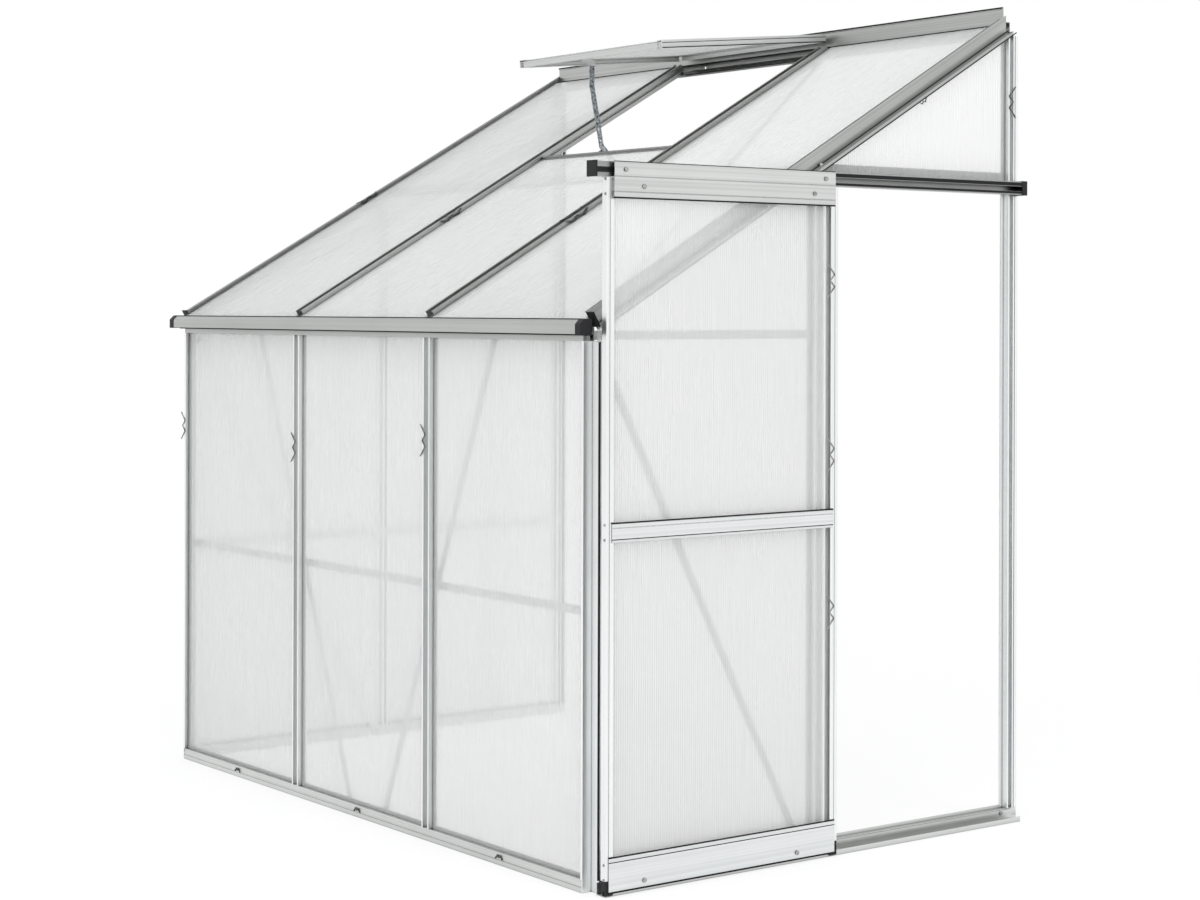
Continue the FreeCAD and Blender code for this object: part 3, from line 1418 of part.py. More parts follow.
# Checks, then one file for each piece
doc.recompute()
for item in doc.Objects:
    if "Invalid" in item.State or "Error" in item.State:
        raise RuntimeError(f"{item.Label}: {item.State}")
for before, after in trimmed:
    if not after.Shape.Volume < before.Shape.Volume - 0.01:
        raise RuntimeError(f"{after.Label} removes nothing")
os.makedirs("parts", exist_ok=True)
for node in nodes:
    shape = node.Shape
    if shape.isNull() or not shape.isValid() or not shape.Solids:
        raise RuntimeError(f"{node.Label} is not a sound solid")
    shape.exportStep(os.path.join("parts", f"{node.Label}.step"))
print(len(nodes), "pieces")
print("hinge", hinge_y.value, hinge_z.value, "stay", [mm(a) for a in stay_base])
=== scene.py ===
import json
import math

import bpy
import numpy as np
from mathutils import Matrix, Vector

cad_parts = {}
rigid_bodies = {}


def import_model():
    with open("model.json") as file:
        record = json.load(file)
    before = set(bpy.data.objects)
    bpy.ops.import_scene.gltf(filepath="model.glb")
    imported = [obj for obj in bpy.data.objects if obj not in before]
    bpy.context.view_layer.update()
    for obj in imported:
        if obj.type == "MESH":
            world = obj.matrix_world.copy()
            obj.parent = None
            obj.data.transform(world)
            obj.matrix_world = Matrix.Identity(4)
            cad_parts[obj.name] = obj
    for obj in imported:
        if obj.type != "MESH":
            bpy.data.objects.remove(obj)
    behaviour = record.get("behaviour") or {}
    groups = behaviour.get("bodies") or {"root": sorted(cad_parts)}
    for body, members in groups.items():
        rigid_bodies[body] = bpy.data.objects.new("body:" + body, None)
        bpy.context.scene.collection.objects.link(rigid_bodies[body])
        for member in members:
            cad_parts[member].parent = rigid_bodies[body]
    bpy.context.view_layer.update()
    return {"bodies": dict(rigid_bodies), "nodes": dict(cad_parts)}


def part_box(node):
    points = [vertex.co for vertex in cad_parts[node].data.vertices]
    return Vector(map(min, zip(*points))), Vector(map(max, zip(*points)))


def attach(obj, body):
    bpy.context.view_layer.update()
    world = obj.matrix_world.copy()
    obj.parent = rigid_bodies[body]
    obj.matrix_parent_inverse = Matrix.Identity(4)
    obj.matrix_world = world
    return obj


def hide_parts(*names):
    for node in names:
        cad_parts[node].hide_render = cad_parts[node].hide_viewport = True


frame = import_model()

nodes = frame["nodes"]
print("frame loaded:", len(nodes), "nodes")

# the roof's slope and the vent's, as the construction has them
roofTilt = math.atan2(735.15, 1286.0)
ventTilt = roofTilt - math.radians(24.2)


cameraValues = {
    "place": (5.00828, -3.03710, 1.25477),
    "azimuth": math.radians(53.264),
    "roll": math.radians(0.158),
    "focalPixels": 2348.96,
    "imageWidth": 1200,
    "imageHeight": 900,
    "middleRow": 309.94,      # the image row that the level line of sight meets
    "sensorWidth": 36.0,
    "farthest": 100,
}


def makeCamera(values):
    data = bpy.data.cameras.new("studioCamera")
    data.sensor_fit = "HORIZONTAL"
    data.sensor_width = values["sensorWidth"]
    data.lens = values["focalPixels"] / values["imageWidth"] * values["sensorWidth"]
    data.shift_y = (values["middleRow"] - values["imageHeight"] / 2) / values["imageWidth"]
    data.clip_end = values["farthest"]
    turn = values["azimuth"]
    right = Vector((math.cos(turn), math.sin(turn), 0))
    back = Vector((math.sin(turn), -math.cos(turn), 0))
    up = Vector((0, 0, 1))
    lean = values["roll"]
    rightRolled = math.cos(lean) * right + math.sin(lean) * up
    upRolled = -math.sin(lean) * right + math.cos(lean) * up
    pose = Matrix((rightRolled, upRolled, back)).transposed().to_4x4()
    pose.translation = Vector(values["place"])
    camera = bpy.data.objects.new("studioCamera", data)
    camera.matrix_world = pose
    bpy.context.scene.collection.objects.link(camera)
    bpy.context.scene.camera = camera


makeCamera(cameraValues)
print("camera placed")


# A node tree is filled through this small helper. What goes into a socket is another socket or a
# plain value, and None leaves it as it is.
class Tree:
    def __init__(self, tree):
        self.tree = tree

    def add(self, kind, **settings):
        node = self.tree.nodes.new(kind)
        for key, value in settings.items():
            setattr(node, key, value)
        return node

    def join(self, source, target):
        self.tree.links.new(source, target)

    def put(self, item, target):
        if isinstance(item, bpy.types.NodeSocket):
            self.join(item, target)
        elif item is not None:
            target.default_value = item

    def math(self, operation, first, second, clamp=False):
        node = self.add("ShaderNodeMath", operation=operation, use_clamp=clamp)
        self.put(first, node.inputs[0])
        self.put(second, node.inputs[1])
        return node.outputs[0]

    def scaled(self, value, factor):
        return self.math("MULTIPLY", value, factor)

    def remap(self, value, span, toLow, toHigh):
        node = self.add("ShaderNodeMapRange")
        node.clamp = True
        for key, item in (("From Min", span[0]), ("From Max", span[1]), ("To Min", toLow),
                          ("To Max", toHigh)):
            node.inputs[key].default_value = item
        self.join(value, node.inputs["Value"])
        return node.outputs["Result"]

    def mixColour(self, mask, first, second):
        node = self.add("ShaderNodeMix", data_type="RGBA")
        self.join(mask, node.inputs["Factor"])
        for place, item in ((6, first), (7, second)):
            self.put((*item, 1) if isinstance(item, tuple) else item, node.inputs[place])
        return node.outputs[2]

    def noise(self, vector, scale=None, detail=None, roughness=None):
        node = self.add("ShaderNodeTexNoise")
        self.join(vector, node.inputs["Vector"])
        self.put(scale, node.inputs["Scale"])
        self.put(detail, node.inputs["Detail"])
        self.put(roughness, node.inputs["Roughness"])
        return node.outputs["Fac"]

    def objectPlace(self):
        return self.add("ShaderNodeTexCoord").outputs["Object"]

    def bump(self, height, normal, values):
        node = self.add("ShaderNodeBump")
        node.inputs["Strength"].default_value = values["bump"]
        node.inputs["Distance"].default_value = values["bumpDistance"]
        self.join(height, node.inputs["Height"])
        self.join(normal, node.inputs["Normal"])
        return node.outputs["Normal"]


def newGroup(name, inputs, outputs):
    group = bpy.data.node_groups.new(name, "ShaderNodeTree")
    for title, kind, value in inputs:
        socket = group.interface.new_socket(title, in_out="INPUT", socket_type=kind)
        if value is not None:
            socket.default_value = value
    for title, kind in outputs:
        group.interface.new_socket(title, in_out="OUTPUT", socket_type=kind)
    tree = Tree(group)
    return group, tree, tree.add("NodeGroupInput"), tree.add("NodeGroupOutput")


grainValues = {
    "fineScale": 1.0,
    "fineDetail": 3.0,
    "fineShare": 0.7,
    "broadScale": 0.18,
    "broadDetail": 2.0,
    "broadShare": 0.3,
    "toneSpan": (0.35, 0.65),     # the part of the noise that goes from dark to light
}


# Die lines of an extrusion: streaks across the drawing direction, already stretched by the mapping.
def makeGrainGroup(values):
    group, tree, inside, outside = newGroup(
        "dieLines",
        [("Vector", "NodeSocketVector", None)],
        [("Height", "NodeSocketFloat"), ("Tone", "NodeSocketFloat")])
    vector = inside.outputs["Vector"]
    fine = tree.noise(vector, values["fineScale"], values["fineDetail"])
    broad = tree.noise(vector, values["broadScale"], values["broadDetail"])
    height = tree.math("ADD", tree.scaled(fine, values["fineShare"]),
                       tree.scaled(broad, values["broadShare"]))
    tree.join(height, outside.inputs["Height"])
    tree.join(tree.remap(broad, values["toneSpan"], 0.0, 1.0), outside.inputs["Tone"])
    return group


edgeValues = {
    "samples": 4,
    "turnSpan": (0.985, 0.80),    # cosine between the rounded and the flat normal, bare to rubbed
    "noiseSpan": (0.38, 0.62),
    "noiseDetail": 2.0,
    "leastRubbed": 0.35,
}


# Edge mask for rubbed wear and for a painted highlight: where the rounded normal leaves the flat
# one, broken up by a fine noise.
def makeEdgeGroup(values):
    group, tree, inside, outside = newGroup(
        "edgeWearAndHighlight",
        [("Radius", "NodeSocketFloat", 0.001), ("Breakup", "NodeSocketFloat", 60.0)],
        [("Edge", "NodeSocketFloat"), ("Normal", "NodeSocketVector")])
    rounded = tree.add("ShaderNodeBevel", samples=values["samples"])
    tree.join(inside.outputs["Radius"], rounded.inputs["Radius"])
    flat = tree.add("ShaderNodeNewGeometry")
    turn = tree.add("ShaderNodeVectorMath", operation="DOT_PRODUCT")
    tree.join(rounded.outputs["Normal"], turn.inputs[0])
    tree.join(flat.outputs["Normal"], turn.inputs[1])
    noise = tree.noise(tree.objectPlace(), inside.outputs["Breakup"], values["noiseDetail"])
    bend = tree.remap(turn.outputs["Value"], values["turnSpan"], 0.0, 1.0)
    rubbed = tree.math("MULTIPLY", bend,
                       tree.remap(noise, values["noiseSpan"], values["leastRubbed"], 1.0))
    tree.join(rubbed, outside.inputs["Edge"])
    tree.join(rounded.outputs["Normal"], outside.inputs["Normal"])
    return group


filmValues = {
    "detail": 4.0,
    "roughness": 0.6,
    "patchSpan": (0.40, 0.72),
    "patchShare": 0.6,
    "groundShare": 0.4,
}


# Thin dull film in soft patches, heavier towards the ground.
def makeFilmGroup(values):
    group, tree, inside, outside = newGroup(
        "dullFilm",
        [("Scale", "NodeSocketFloat", 3.0), ("GroundReach", "NodeSocketFloat", 0.35)],
        [("Film", "NodeSocketFloat")])
    place = tree.objectPlace()
    noise = tree.noise(place, inside.outputs["Scale"], values["detail"], values["roughness"])
    patches = tree.remap(noise, values["patchSpan"], 0.0, 1.0)
    split = tree.add("ShaderNodeSeparateXYZ")
    tree.join(place, split.inputs[0])
    near = tree.math("DIVIDE", split.outputs["Z"], inside.outputs["GroundReach"], clamp=True)
    ground = tree.math("SUBTRACT", 1.0, near, clamp=True)
    film = tree.math("ADD", tree.scaled(patches, values["patchShare"]),
                     tree.scaled(ground, values["groundShare"]), clamp=True)
    tree.join(film, outside.inputs["Film"])
    return group


creaseValues = {
    "samples": 6,
    "openSpan": (0.25, 0.80),     # openness from wholly shaded to bare
}


# Shade in grooves and where parts meet: how much of the near surroundings is closed in.
def makeCreaseGroup(values):
    group, tree, inside, outside = newGroup(
        "creaseShade",
        [("Reach", "NodeSocketFloat", 0.012)],
        [("Crease", "NodeSocketFloat")])
    closed = tree.add("ShaderNodeAmbientOcclusion", samples=values["samples"])
    tree.join(inside.outputs["Reach"], closed.inputs["Distance"])
    tree.join(tree.remap(closed.outputs["AO"], values["openSpan"], 1.0, 0.0),
              outside.inputs["Crease"])
    return group


dieLines = makeGrainGroup(grainValues)
edgeWearAndHighlight = makeEdgeGroup(edgeValues)
dullFilm = makeFilmGroup(filmValues)
creaseShade = makeCreaseGroup(creaseValues)


def emptyMaterial(name):
    material = bpy.data.materials.new(name)
    material.use_nodes = True
    material.node_tree.nodes.clear()
    return material, Tree(material.node_tree)


def newMaterial(name):
    material, tree = emptyMaterial(name)
    shader = tree.add("ShaderNodeBsdfPrincipled")
    out = tree.add("ShaderNodeOutputMaterial")
    tree.join(shader.outputs[0], out.inputs["Surface"])
    return material, tree, shader


def useGroup(tree, group, **values):
    node = tree.add("ShaderNodeGroup")
    node.node_tree = group
    for key, value in values.items():
        node.inputs[key].default_value = value
    return node


def brighter(colour, factor):
    return tuple(min(1.0, factor * part) for part in colour)


# The tones are lit and shaded copies of one aluminium: painted light and shade. 'side' is the plain
# copy; 'upright' and 'bright' are painted lighter, and 'roof', 'gutter' and 'track' darker, as
# light falls.
metalValues = {
    "bright": {"light": (0.86, 0.88, 0.88), "dark": (0.74, 0.76, 0.76), "rough": 0.28,
               "reach": 0.007},
    "upright": {"light": (0.95, 0.96, 0.96), "dark": (0.86, 0.88, 0.88), "rough": 0.28,
                "reach": 0.006},
    "side": {"light": (0.74, 0.75, 0.74), "dark": (0.62, 0.63, 0.62), "rough": 0.30,
             "reach": 0.007},
    "gutter": {"light": (0.55, 0.56, 0.55), "dark": (0.47, 0.48, 0.47), "rough": 0.34,
               "reach": 0.014},
    "track": {"light": (0.44, 0.45, 0.44), "dark": (0.32, 0.33, 0.32), "rough": 0.30,
              "reach": 0.020},
    "roof": {"light": (0.55, 0.56, 0.55), "dark": (0.42, 0.43, 0.42), "rough": 0.32,
             "reach": 0.014},
    "vent": {"light": (0.74, 0.75, 0.74), "dark": (0.60, 0.61, 0.60), "rough": 0.32,
             "reach": 0.008},
    "grainAcross": 900.0,         # streaks per metre across the drawing direction
    "grainAlong": 3.0,            # and along it
    "stripGrain": 240.0,          # the thin strips lie any way, so theirs is the same all round
    "edgeRadius": 0.0012,
    "edgeBreakup": 70.0,
    "edgeShare": 0.6,
    "edgeBrightness": 1.18,
    "edgePolish": 0.08,           # how much smoother a rubbed edge is
    "filmScale": 2.6,
    "filmGround": 0.3,
    "filmShare": 0.35,
    "filmBrightness": 0.86,
    "filmRough": 0.14,
    "lineRough": 0.06,
    "paintedCreaseShade": (0.035, 0.036, 0.038),
    "paintedCreaseStrength": 0.85,
    "bump": 0.06,
    "bumpDistance": 0.0006,
}


# Drawn aluminium: streaks along one axis, patches of dull film, edges made brighter as rubbed wear
# and as a painted highlight, and painted shade in grooves and where parts meet. The place is turned
# level first and stretched after.
def makeAluminium(name, tone, scale, turn=(0, 0, 0)):
    values = metalValues
    # The tone picks a lit or shaded copy of the aluminium: painted light and shade.
    own = values[tone]
    material, tree, shader = newMaterial(name)
    level = tree.add("ShaderNodeMapping")
    level.inputs["Rotation"].default_value = turn
    stretch = tree.add("ShaderNodeMapping")
    stretch.inputs["Scale"].default_value = scale
    tree.join(tree.objectPlace(), level.inputs["Vector"])
    tree.join(level.outputs["Vector"], stretch.inputs["Vector"])
    lines = useGroup(tree, dieLines)
    tree.join(stretch.outputs["Vector"], lines.inputs["Vector"])
    edges = useGroup(tree, edgeWearAndHighlight, Radius=values["edgeRadius"], Breakup=values["edgeBreakup"])
    film = useGroup(tree, dullFilm, Scale=values["filmScale"], GroundReach=values["filmGround"])
    film = film.outputs["Film"]
    plain = tree.mixColour(lines.outputs["Tone"], own["dark"], own["light"])
    filmed = tree.mixColour(tree.scaled(film, values["filmShare"]), plain,
                            brighter(own["dark"], values["filmBrightness"]))
    # Edges made brighter as rubbed wear and as a painted highlight.
    wornAndHighlit = tree.mixColour(tree.scaled(edges.outputs["Edge"], values["edgeShare"]), filmed,
                          brighter(own["light"], values["edgeBrightness"]))
    # Painted shade: the colour darkens where the near surroundings close in.
    creases = useGroup(tree, creaseShade, Reach=own["reach"])
    dim = tree.scaled(creases.outputs["Crease"], values["paintedCreaseStrength"])
    tree.join(tree.mixColour(dim, wornAndHighlit, values["paintedCreaseShade"]), shader.inputs["Base Color"])
    shader.inputs["Metallic"].default_value = 1.0
    rough = tree.math("ADD", tree.scaled(film, values["filmRough"]),
                      tree.scaled(lines.outputs["Tone"], values["lineRough"]))
    rough = tree.math("ADD", rough, own["rough"])
    polish = tree.scaled(edges.outputs["Edge"], values["edgePolish"])
    tree.join(tree.math("SUBTRACT", rough, polish), shader.inputs["Roughness"])
    tree.join(tree.bump(lines.outputs["Height"], edges.outputs["Normal"], values),
              shader.inputs["Normal"])
    return material


across = metalValues["grainAcross"]
along = metalValues["grainAlong"]
alongX = (along, across, across)
alongY = (across, along, across)
alongZ = (across, across, along)
# Lit and shaded copies of one aluminium, painted lighter or darker by where each part stands.
aluminium = {
    "x": makeAluminium("aluminiumAlongX", "side", alongX),
    "gutter": makeAluminium("shadedGutterAluminium", "gutter", alongX),
    "brightY": makeAluminium("litAluminiumAlongY", "bright", alongY),
    "y": makeAluminium("aluminiumAlongY", "side", alongY),
    "z": makeAluminium("litAluminiumAlongZ", "upright", alongZ),
    "track": makeAluminium("shadedTrackAluminium", "track", alongY),
    "roofX": makeAluminium("shadedRoofAluminiumAlongX", "roof", alongX),
    "slope": makeAluminium("shadedRoofAluminiumUpSlope", "roof", alongY, (-roofTilt, 0, 0)),
    "ventX": makeAluminium("ventAluminiumAlongX", "vent", alongX),
    "ventY": makeAluminium("ventAluminiumAlongSide", "vent", alongY, (-ventTilt, 0, 0)),
    "strip": makeAluminium("litStripAluminium", "bright", (metalValues["stripGrain"],) * 3),
}
print("aluminium finishes made")


steelValues = {
    "plain": {"light": (0.56, 0.56, 0.55), "dark": (0.24, 0.24, 0.25), "rough": 0.24},
    "stay": {"light": (0.50, 0.54, 0.56), "dark": (0.06, 0.07, 0.085), "rough": 0.20},
    "clip": {"light": (0.20, 0.20, 0.20), "dark": (0.03, 0.03, 0.032), "rough": 0.26},
    "cloudScale": 160.0,
    "cloudDetail": 4.0,
    "cloudSpan": (0.35, 0.65),
    "edgeRadius": 0.0004,
    "edgeBreakup": 300.0,
    "edgeShare": 0.5,
    "edgeColour": (0.8, 0.8, 0.79),
    "creaseReach": 0.004,
    "paintedCreaseShade": (0.02, 0.02, 0.022),
    "roughSpan": (0.3, 0.7),
    "roughMore": 0.12,            # how much rougher the dark spots are
    "bump": 0.12,
    "bumpDistance": 0.0002,
}


# Plated steel: cloudy bright plating with duller spots, and painted shade where it meets other
# parts.
def makeSteel(name, kind):
    values = steelValues
    own = values[kind]
    material, tree, shader = newMaterial(name)
    clouds = tree.noise(tree.objectPlace(), values["cloudScale"], values["cloudDetail"])
    edges = useGroup(tree, edgeWearAndHighlight, Radius=values["edgeRadius"], Breakup=values["edgeBreakup"])
    plain = tree.mixColour(tree.remap(clouds, values["cloudSpan"], 0.0, 1.0), own["dark"],
                           own["light"])
    # Edges made brighter as rubbed wear and as a painted highlight.
    wornAndHighlit = tree.mixColour(tree.scaled(edges.outputs["Edge"], values["edgeShare"]), plain,
                          values["edgeColour"])
    # Painted shade where the steel meets other parts.
    creases = useGroup(tree, creaseShade, Reach=values["creaseReach"])
    tree.join(tree.mixColour(creases.outputs["Crease"], wornAndHighlit, values["paintedCreaseShade"]),
              shader.inputs["Base Color"])
    shader.inputs["Metallic"].default_value = 1.0
    tree.join(tree.remap(clouds, values["roughSpan"], own["rough"] + values["roughMore"],
                         own["rough"]),
              shader.inputs["Roughness"])
    tree.join(tree.bump(clouds, edges.outputs["Normal"], values), shader.inputs["Normal"])
    return material


plasticValues = {
    "hard": {"colour": (0.011, 0.011, 0.012), "rubbed": (0.045, 0.045, 0.048), "rough": 0.42},
    # The second black is for the beads that paint shade lines: painted shade.
    "shadeLine": {"colour": (0.008, 0.008, 0.009), "rubbed": (0.030, 0.030, 0.032), "rough": 0.62},
    "grainScale": 900.0,
    "grainDetail": 2.0,
    "cloudScale": 45.0,
    "cloudSpan": (0.35, 0.7),
    "cloudShare": 0.5,
    "cloudBrightness": 2.0,
    "edgeRadius": 0.0009,
    "edgeBreakup": 160.0,
    "edgeShare": 0.55,
    "specular": 0.22,
    "roughSpan": (0.3, 0.7),
    "roughLess": 0.06,
    "roughMore": 0.1,
    "bump": 0.25,
    "bumpDistance": 0.00015,
}


# Moulded plastic: a fine spark-eroded grain, paler where edges are rubbed.
def makePlastic(name, kind):
    values = plasticValues
    own = values[kind]
    material, tree, shader = newMaterial(name)
    place = tree.objectPlace()
    grain = tree.noise(place, values["grainScale"], values["grainDetail"])
    clouds = tree.noise(place, values["cloudScale"])
    edges = useGroup(tree, edgeWearAndHighlight, Radius=values["edgeRadius"], Breakup=values["edgeBreakup"])
    plain = tree.mixColour(tree.remap(clouds, values["cloudSpan"], 0.0, values["cloudShare"]),
                           own["colour"], brighter(own["colour"], values["cloudBrightness"]))
    wornAndHighlit = tree.mixColour(tree.scaled(edges.outputs["Edge"], values["edgeShare"]), plain,
                          own["rubbed"])
    tree.join(wornAndHighlit, shader.inputs["Base Color"])
    shader.inputs["Specular IOR Level"].default_value = values["specular"]
    tree.join(tree.remap(clouds, values["roughSpan"], own["rough"] - values["roughLess"],
                         own["rough"] + values["roughMore"]),
              shader.inputs["Roughness"])
    tree.join(tree.bump(grain, edges.outputs["Normal"], values), shader.inputs["Normal"])
    return material


steel = makeSteel("zincPlatedSteel", "plain")
staySteel = makeSteel("blueZincSteel", "stay")
clipSteel = makeSteel("springSteel", "clip")
blackPlastic = makePlastic("blackPlastic", "hard")
# Black for the beads that paint shade lines.
paintedShadeBlack = makePlastic("paintedShadeBlack", "shadeLine")
print("steel and plastic made")


paneValues = {
    "flute": 0.0061,              # from web to web
    "dip": 0.00018,               # how far a skin sinks between two webs
    "steps": 4,                   # points across one flute
    "edgeReach": 0.00001,         # how near its edge a corner of the plain pane counts as on it
    "skin": {"pale": (0.94, 0.945, 0.945), "warm": (0.93, 0.93, 0.92), "alpha": (0.36, 0.39),
             "through": 0.28},
    "web": {"pale": (0.70, 0.71, 0.71), "warm": (0.66, 0.66, 0.65), "alpha": (0.37, 0.41),
            "through": 0.0},
    "ior": 1.08,
    "rough": 0.17,
    "filmRough": 0.08,            # added where the film is thickest
    "streakScale": (130.0, 1.2, 1.0),
    "streakDetail": 2.0,
    "streakSpan": (0.35, 0.65),
    "filmScale": 1.7,
    "filmGround": 0.5,
    "filmShare": 0.2,
    "filmBrightness": 0.92,
    "filmAlpha": 0.03,
    "edgeRadius": 0.0006,
    "edgeBreakup": 80.0,
    "bump": 0.06,
    "bumpDistance": 0.0003,
}


# Opal polycarbonate. The pane's own map gives metres across the flutes and along them.
def makeSheet(name, kind):
    values = paneValues
    own = values[kind]
    material, tree, shader = newMaterial(name)
    flat = tree.add("ShaderNodeUVMap")
    flat.uv_map = "paneMap"
    stretch = tree.add("ShaderNodeMapping")
    stretch.inputs["Scale"].default_value = values["streakScale"]
    tree.join(flat.outputs["UV"], stretch.inputs["Vector"])
    streaks = tree.noise(stretch.outputs["Vector"], detail=values["streakDetail"])
    film = useGroup(tree, dullFilm, Scale=values["filmScale"], GroundReach=values["filmGround"])
    film = film.outputs["Film"]
    edges = useGroup(tree, edgeWearAndHighlight, Radius=values["edgeRadius"], Breakup=values["edgeBreakup"])
    tinted = tree.mixColour(tree.remap(streaks, values["streakSpan"], 0.0, 1.0), own["warm"],
                            own["pale"])
    hazy = tree.mixColour(tree.scaled(film, values["filmShare"]), tinted,
                          brighter(own["warm"], values["filmBrightness"]))
    tree.join(hazy, shader.inputs["Base Color"])
    cover = tree.remap(streaks, values["streakSpan"], *own["alpha"])
    tree.join(tree.math("ADD", cover, tree.scaled(film, values["filmAlpha"]), clamp=True),
              shader.inputs["Alpha"])
    tree.join(tree.math("ADD", tree.scaled(film, values["filmRough"]), values["rough"]),
              shader.inputs["Roughness"])
    shader.inputs["Transmission Weight"].default_value = own["through"]
    shader.inputs["IOR"].default_value = values["ior"]
    tree.join(tree.bump(streaks, edges.outputs["Normal"], values), shader.inputs["Normal"])
    return material


sheetSkin = makeSheet("twinWallSkin", "skin")
sheetWeb = makeSheet("twinWallWeb", "web")


def putMesh(name, points, faces, materials, uv=None, faceMaterial=None, smooth=False):
    mesh = bpy.data.meshes.new(name)
    mesh.from_pydata(points.tolist(), [], faces)
    for material in materials:
        mesh.materials.append(material)
    if faceMaterial is not None:
        mesh.polygons.foreach_set("material_index", np.asarray(faceMaterial, dtype=np.int32))
    if uv is not None:
        layer = mesh.uv_layers.new(name="paneMap")
        corner = np.zeros(len(mesh.loops), dtype=np.int32)
        mesh.loops.foreach_get("vertex_index", corner)
        layer.data.foreach_set("uv", uv[corner].astype(np.float32).ravel())
    if smooth:
        mesh.polygons.foreach_set("use_smooth", np.ones(len(mesh.polygons), dtype=bool))
    mesh.update()
    piece = bpy.data.objects.new(name, mesh)
    bpy.context.scene.collection.objects.link(piece)
    return piece


def nodePoints(name):
    mesh = nodes[name].data
    flat = np.zeros(len(mesh.vertices) * 3)
    mesh.vertices.foreach_get("co", flat)
    return flat.reshape(-1, 3)


# A sheet on a grid: across it, the two skins sink by half a cosine between webs; along it, straight
# lines run from the bottom edge to the top edge, which may slope. Webs are strips between them.
def makePane(name, corners, acrossAxis, alongAxis, body, replaced):
    values = paneValues
    acrossAxis = np.array(acrossAxis, float)
    alongAxis = np.array(alongAxis, float)
    outAxis = np.cross(acrossAxis, alongAxis)
    acrossOf = corners @ acrossAxis
    alongOf = corners @ alongAxis
    outOf = corners @ outAxis
    low, high = acrossOf.min(), acrossOf.max()
    bottom = alongOf.min()
    topAtLow = alongOf[acrossOf < low + values["edgeReach"]].max()
    topAtHigh = alongOf[acrossOf > high - values["edgeReach"]].max()
    flutes = max(2, int(round((high - low) / values["flute"])))
    columns = flutes * values["steps"] + 1
    share = np.linspace(0.0, 1.0, columns)
    acrossAt = low + share * (high - low)
    topAt = topAtLow + share * (topAtHigh - topAtLow)
    sink = values["dip"] * 0.5 * (1 - np.cos(2 * np.pi * share * flutes))
    rows = np.array([0.0, 0.5, 1.0])
    alongAt = bottom + rows[:, None] * (topAt - bottom)[None, :]

    def skin(level):
        return (acrossAt[None, :, None] * acrossAxis + alongAt[:, :, None] * alongAxis
                + np.broadcast_to(level[None, :, None], alongAt.shape + (1,)) * outAxis)

    outer = skin(outOf.max() - sink)
    inner = skin(outOf.min() + sink)
    points = np.concatenate([outer.reshape(-1, 3), inner.reshape(-1, 3)])
    index = np.arange(len(rows) * columns).reshape(len(rows), columns)
    offset = index.size
    cells = np.stack([index[:-1, :-1], index[:-1, 1:], index[1:, 1:], index[1:, :-1]], -1)
    outerFaces = cells.reshape(-1, 4)
    innerFaces = outerFaces[:, ::-1] + offset
    webColumns = np.arange(0, columns, values["steps"])
    foot = index[:-1][:, webColumns]
    head = index[1:][:, webColumns]
    webFaces = np.stack([foot, head, head + offset, foot + offset], -1).reshape(-1, 4)
    faces = np.concatenate([outerFaces, innerFaces, webFaces]).tolist()
    kinds = np.concatenate([np.zeros(len(outerFaces) + len(innerFaces)), np.ones(len(webFaces))])
    grid = np.stack([np.broadcast_to(acrossAt, alongAt.shape), alongAt], -1).reshape(-1, 2)
    uv = np.concatenate([grid, grid])
    piece = putMesh(name, points, faces, [sheetSkin, sheetWeb], uv, kinds)
    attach(piece, body)
    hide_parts(replaced)


xAxis, yAxis, zAxis = (1, 0, 0), (0, 1, 0), (0, 0, 1)
upSlope = (0, math.cos(roofTilt), math.sin(roofTilt))
awayFromRoof = (0, -math.sin(roofTilt), math.cos(roofTilt))
upVent = (0, math.cos(ventTilt), math.sin(ventTilt))
bodyOf = {}
for bodyName, empty in frame["bodies"].items():
    for name, item in nodes.items():
        if item.parent is empty:
            bodyOf[name] = bodyName

paneLayout = [
    ("front_pane_1", xAxis, zAxis),
    ("front_pane_2", xAxis, zAxis),
    ("front_pane_3", xAxis, zAxis),
    ("roof_pane_1", xAxis, upSlope),
    ("roof_pane_2", xAxis, upSlope),
    ("roof_pane_3", xAxis, upSlope),
    ("near_gable_pane", yAxis, zAxis),
    ("doorway_pane", yAxis, zAxis),
    ("door_pane_upper", yAxis, zAxis),
    ("door_pane_lower", yAxis, zAxis),
    ("vent_pane", xAxis, upVent),
]
for name, acrossAxis, alongAxis in paneLayout:
    makePane(name + "_sheet", nodePoints(name), acrossAxis, alongAxis, bodyOf[name], name)

# the far gable's two sheets are one node, parted at the middle stud
farPoints = nodePoints("far_gable_panes")
middle = (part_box("far_gable_stud")[0].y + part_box("far_gable_stud")[1].y) / 2
for title, chosen in (("front", farPoints[:, 1] < middle), ("wall", farPoints[:, 1] > middle)):
    makePane("far_gable_sheet_" + title, farPoints[chosen], yAxis, zAxis, bodyOf["far_gable_panes"],
             "far_gable_panes")
print("panes made")


finishes = {
    "x": ["front_sill"],
    "gutter": ["eave_beam"],
    "y": ["near_gable_sill", "far_gable_sill", "bottom_door_track", "door_top_rail",
          "far_gable_mid_rail", "gable_eave_rails"],
    "track": ["top_door_track"],
    "brightY": ["door_mid_rail", "door_bottom_rail"],
    "z": ["near_wall_post", "far_wall_post", "front_stud_1", "front_stud_2", "door_mid_post",
          "far_gable_stud", "door_stile_front", "door_stile_wall", "near_corner_post",
          "far_corner_post"],
    "roofX": ["ridge_beam", "vent_sill", "roof_purlin"],
    "slope": ["near_gable_rafter", "far_gable_rafter", "roof_bar_1", "roof_bar_2"],
    "ventX": ["vent_hinge_bar", "vent_edge_bar"],
    "ventY": ["vent_side_bars"],
    "strip": ["front_brace_far", "front_brace_near", "roof_brace_far", "roof_brace_near",
              "gable_brace_near", "gable_brace_far", "front_mid_rail"],
}
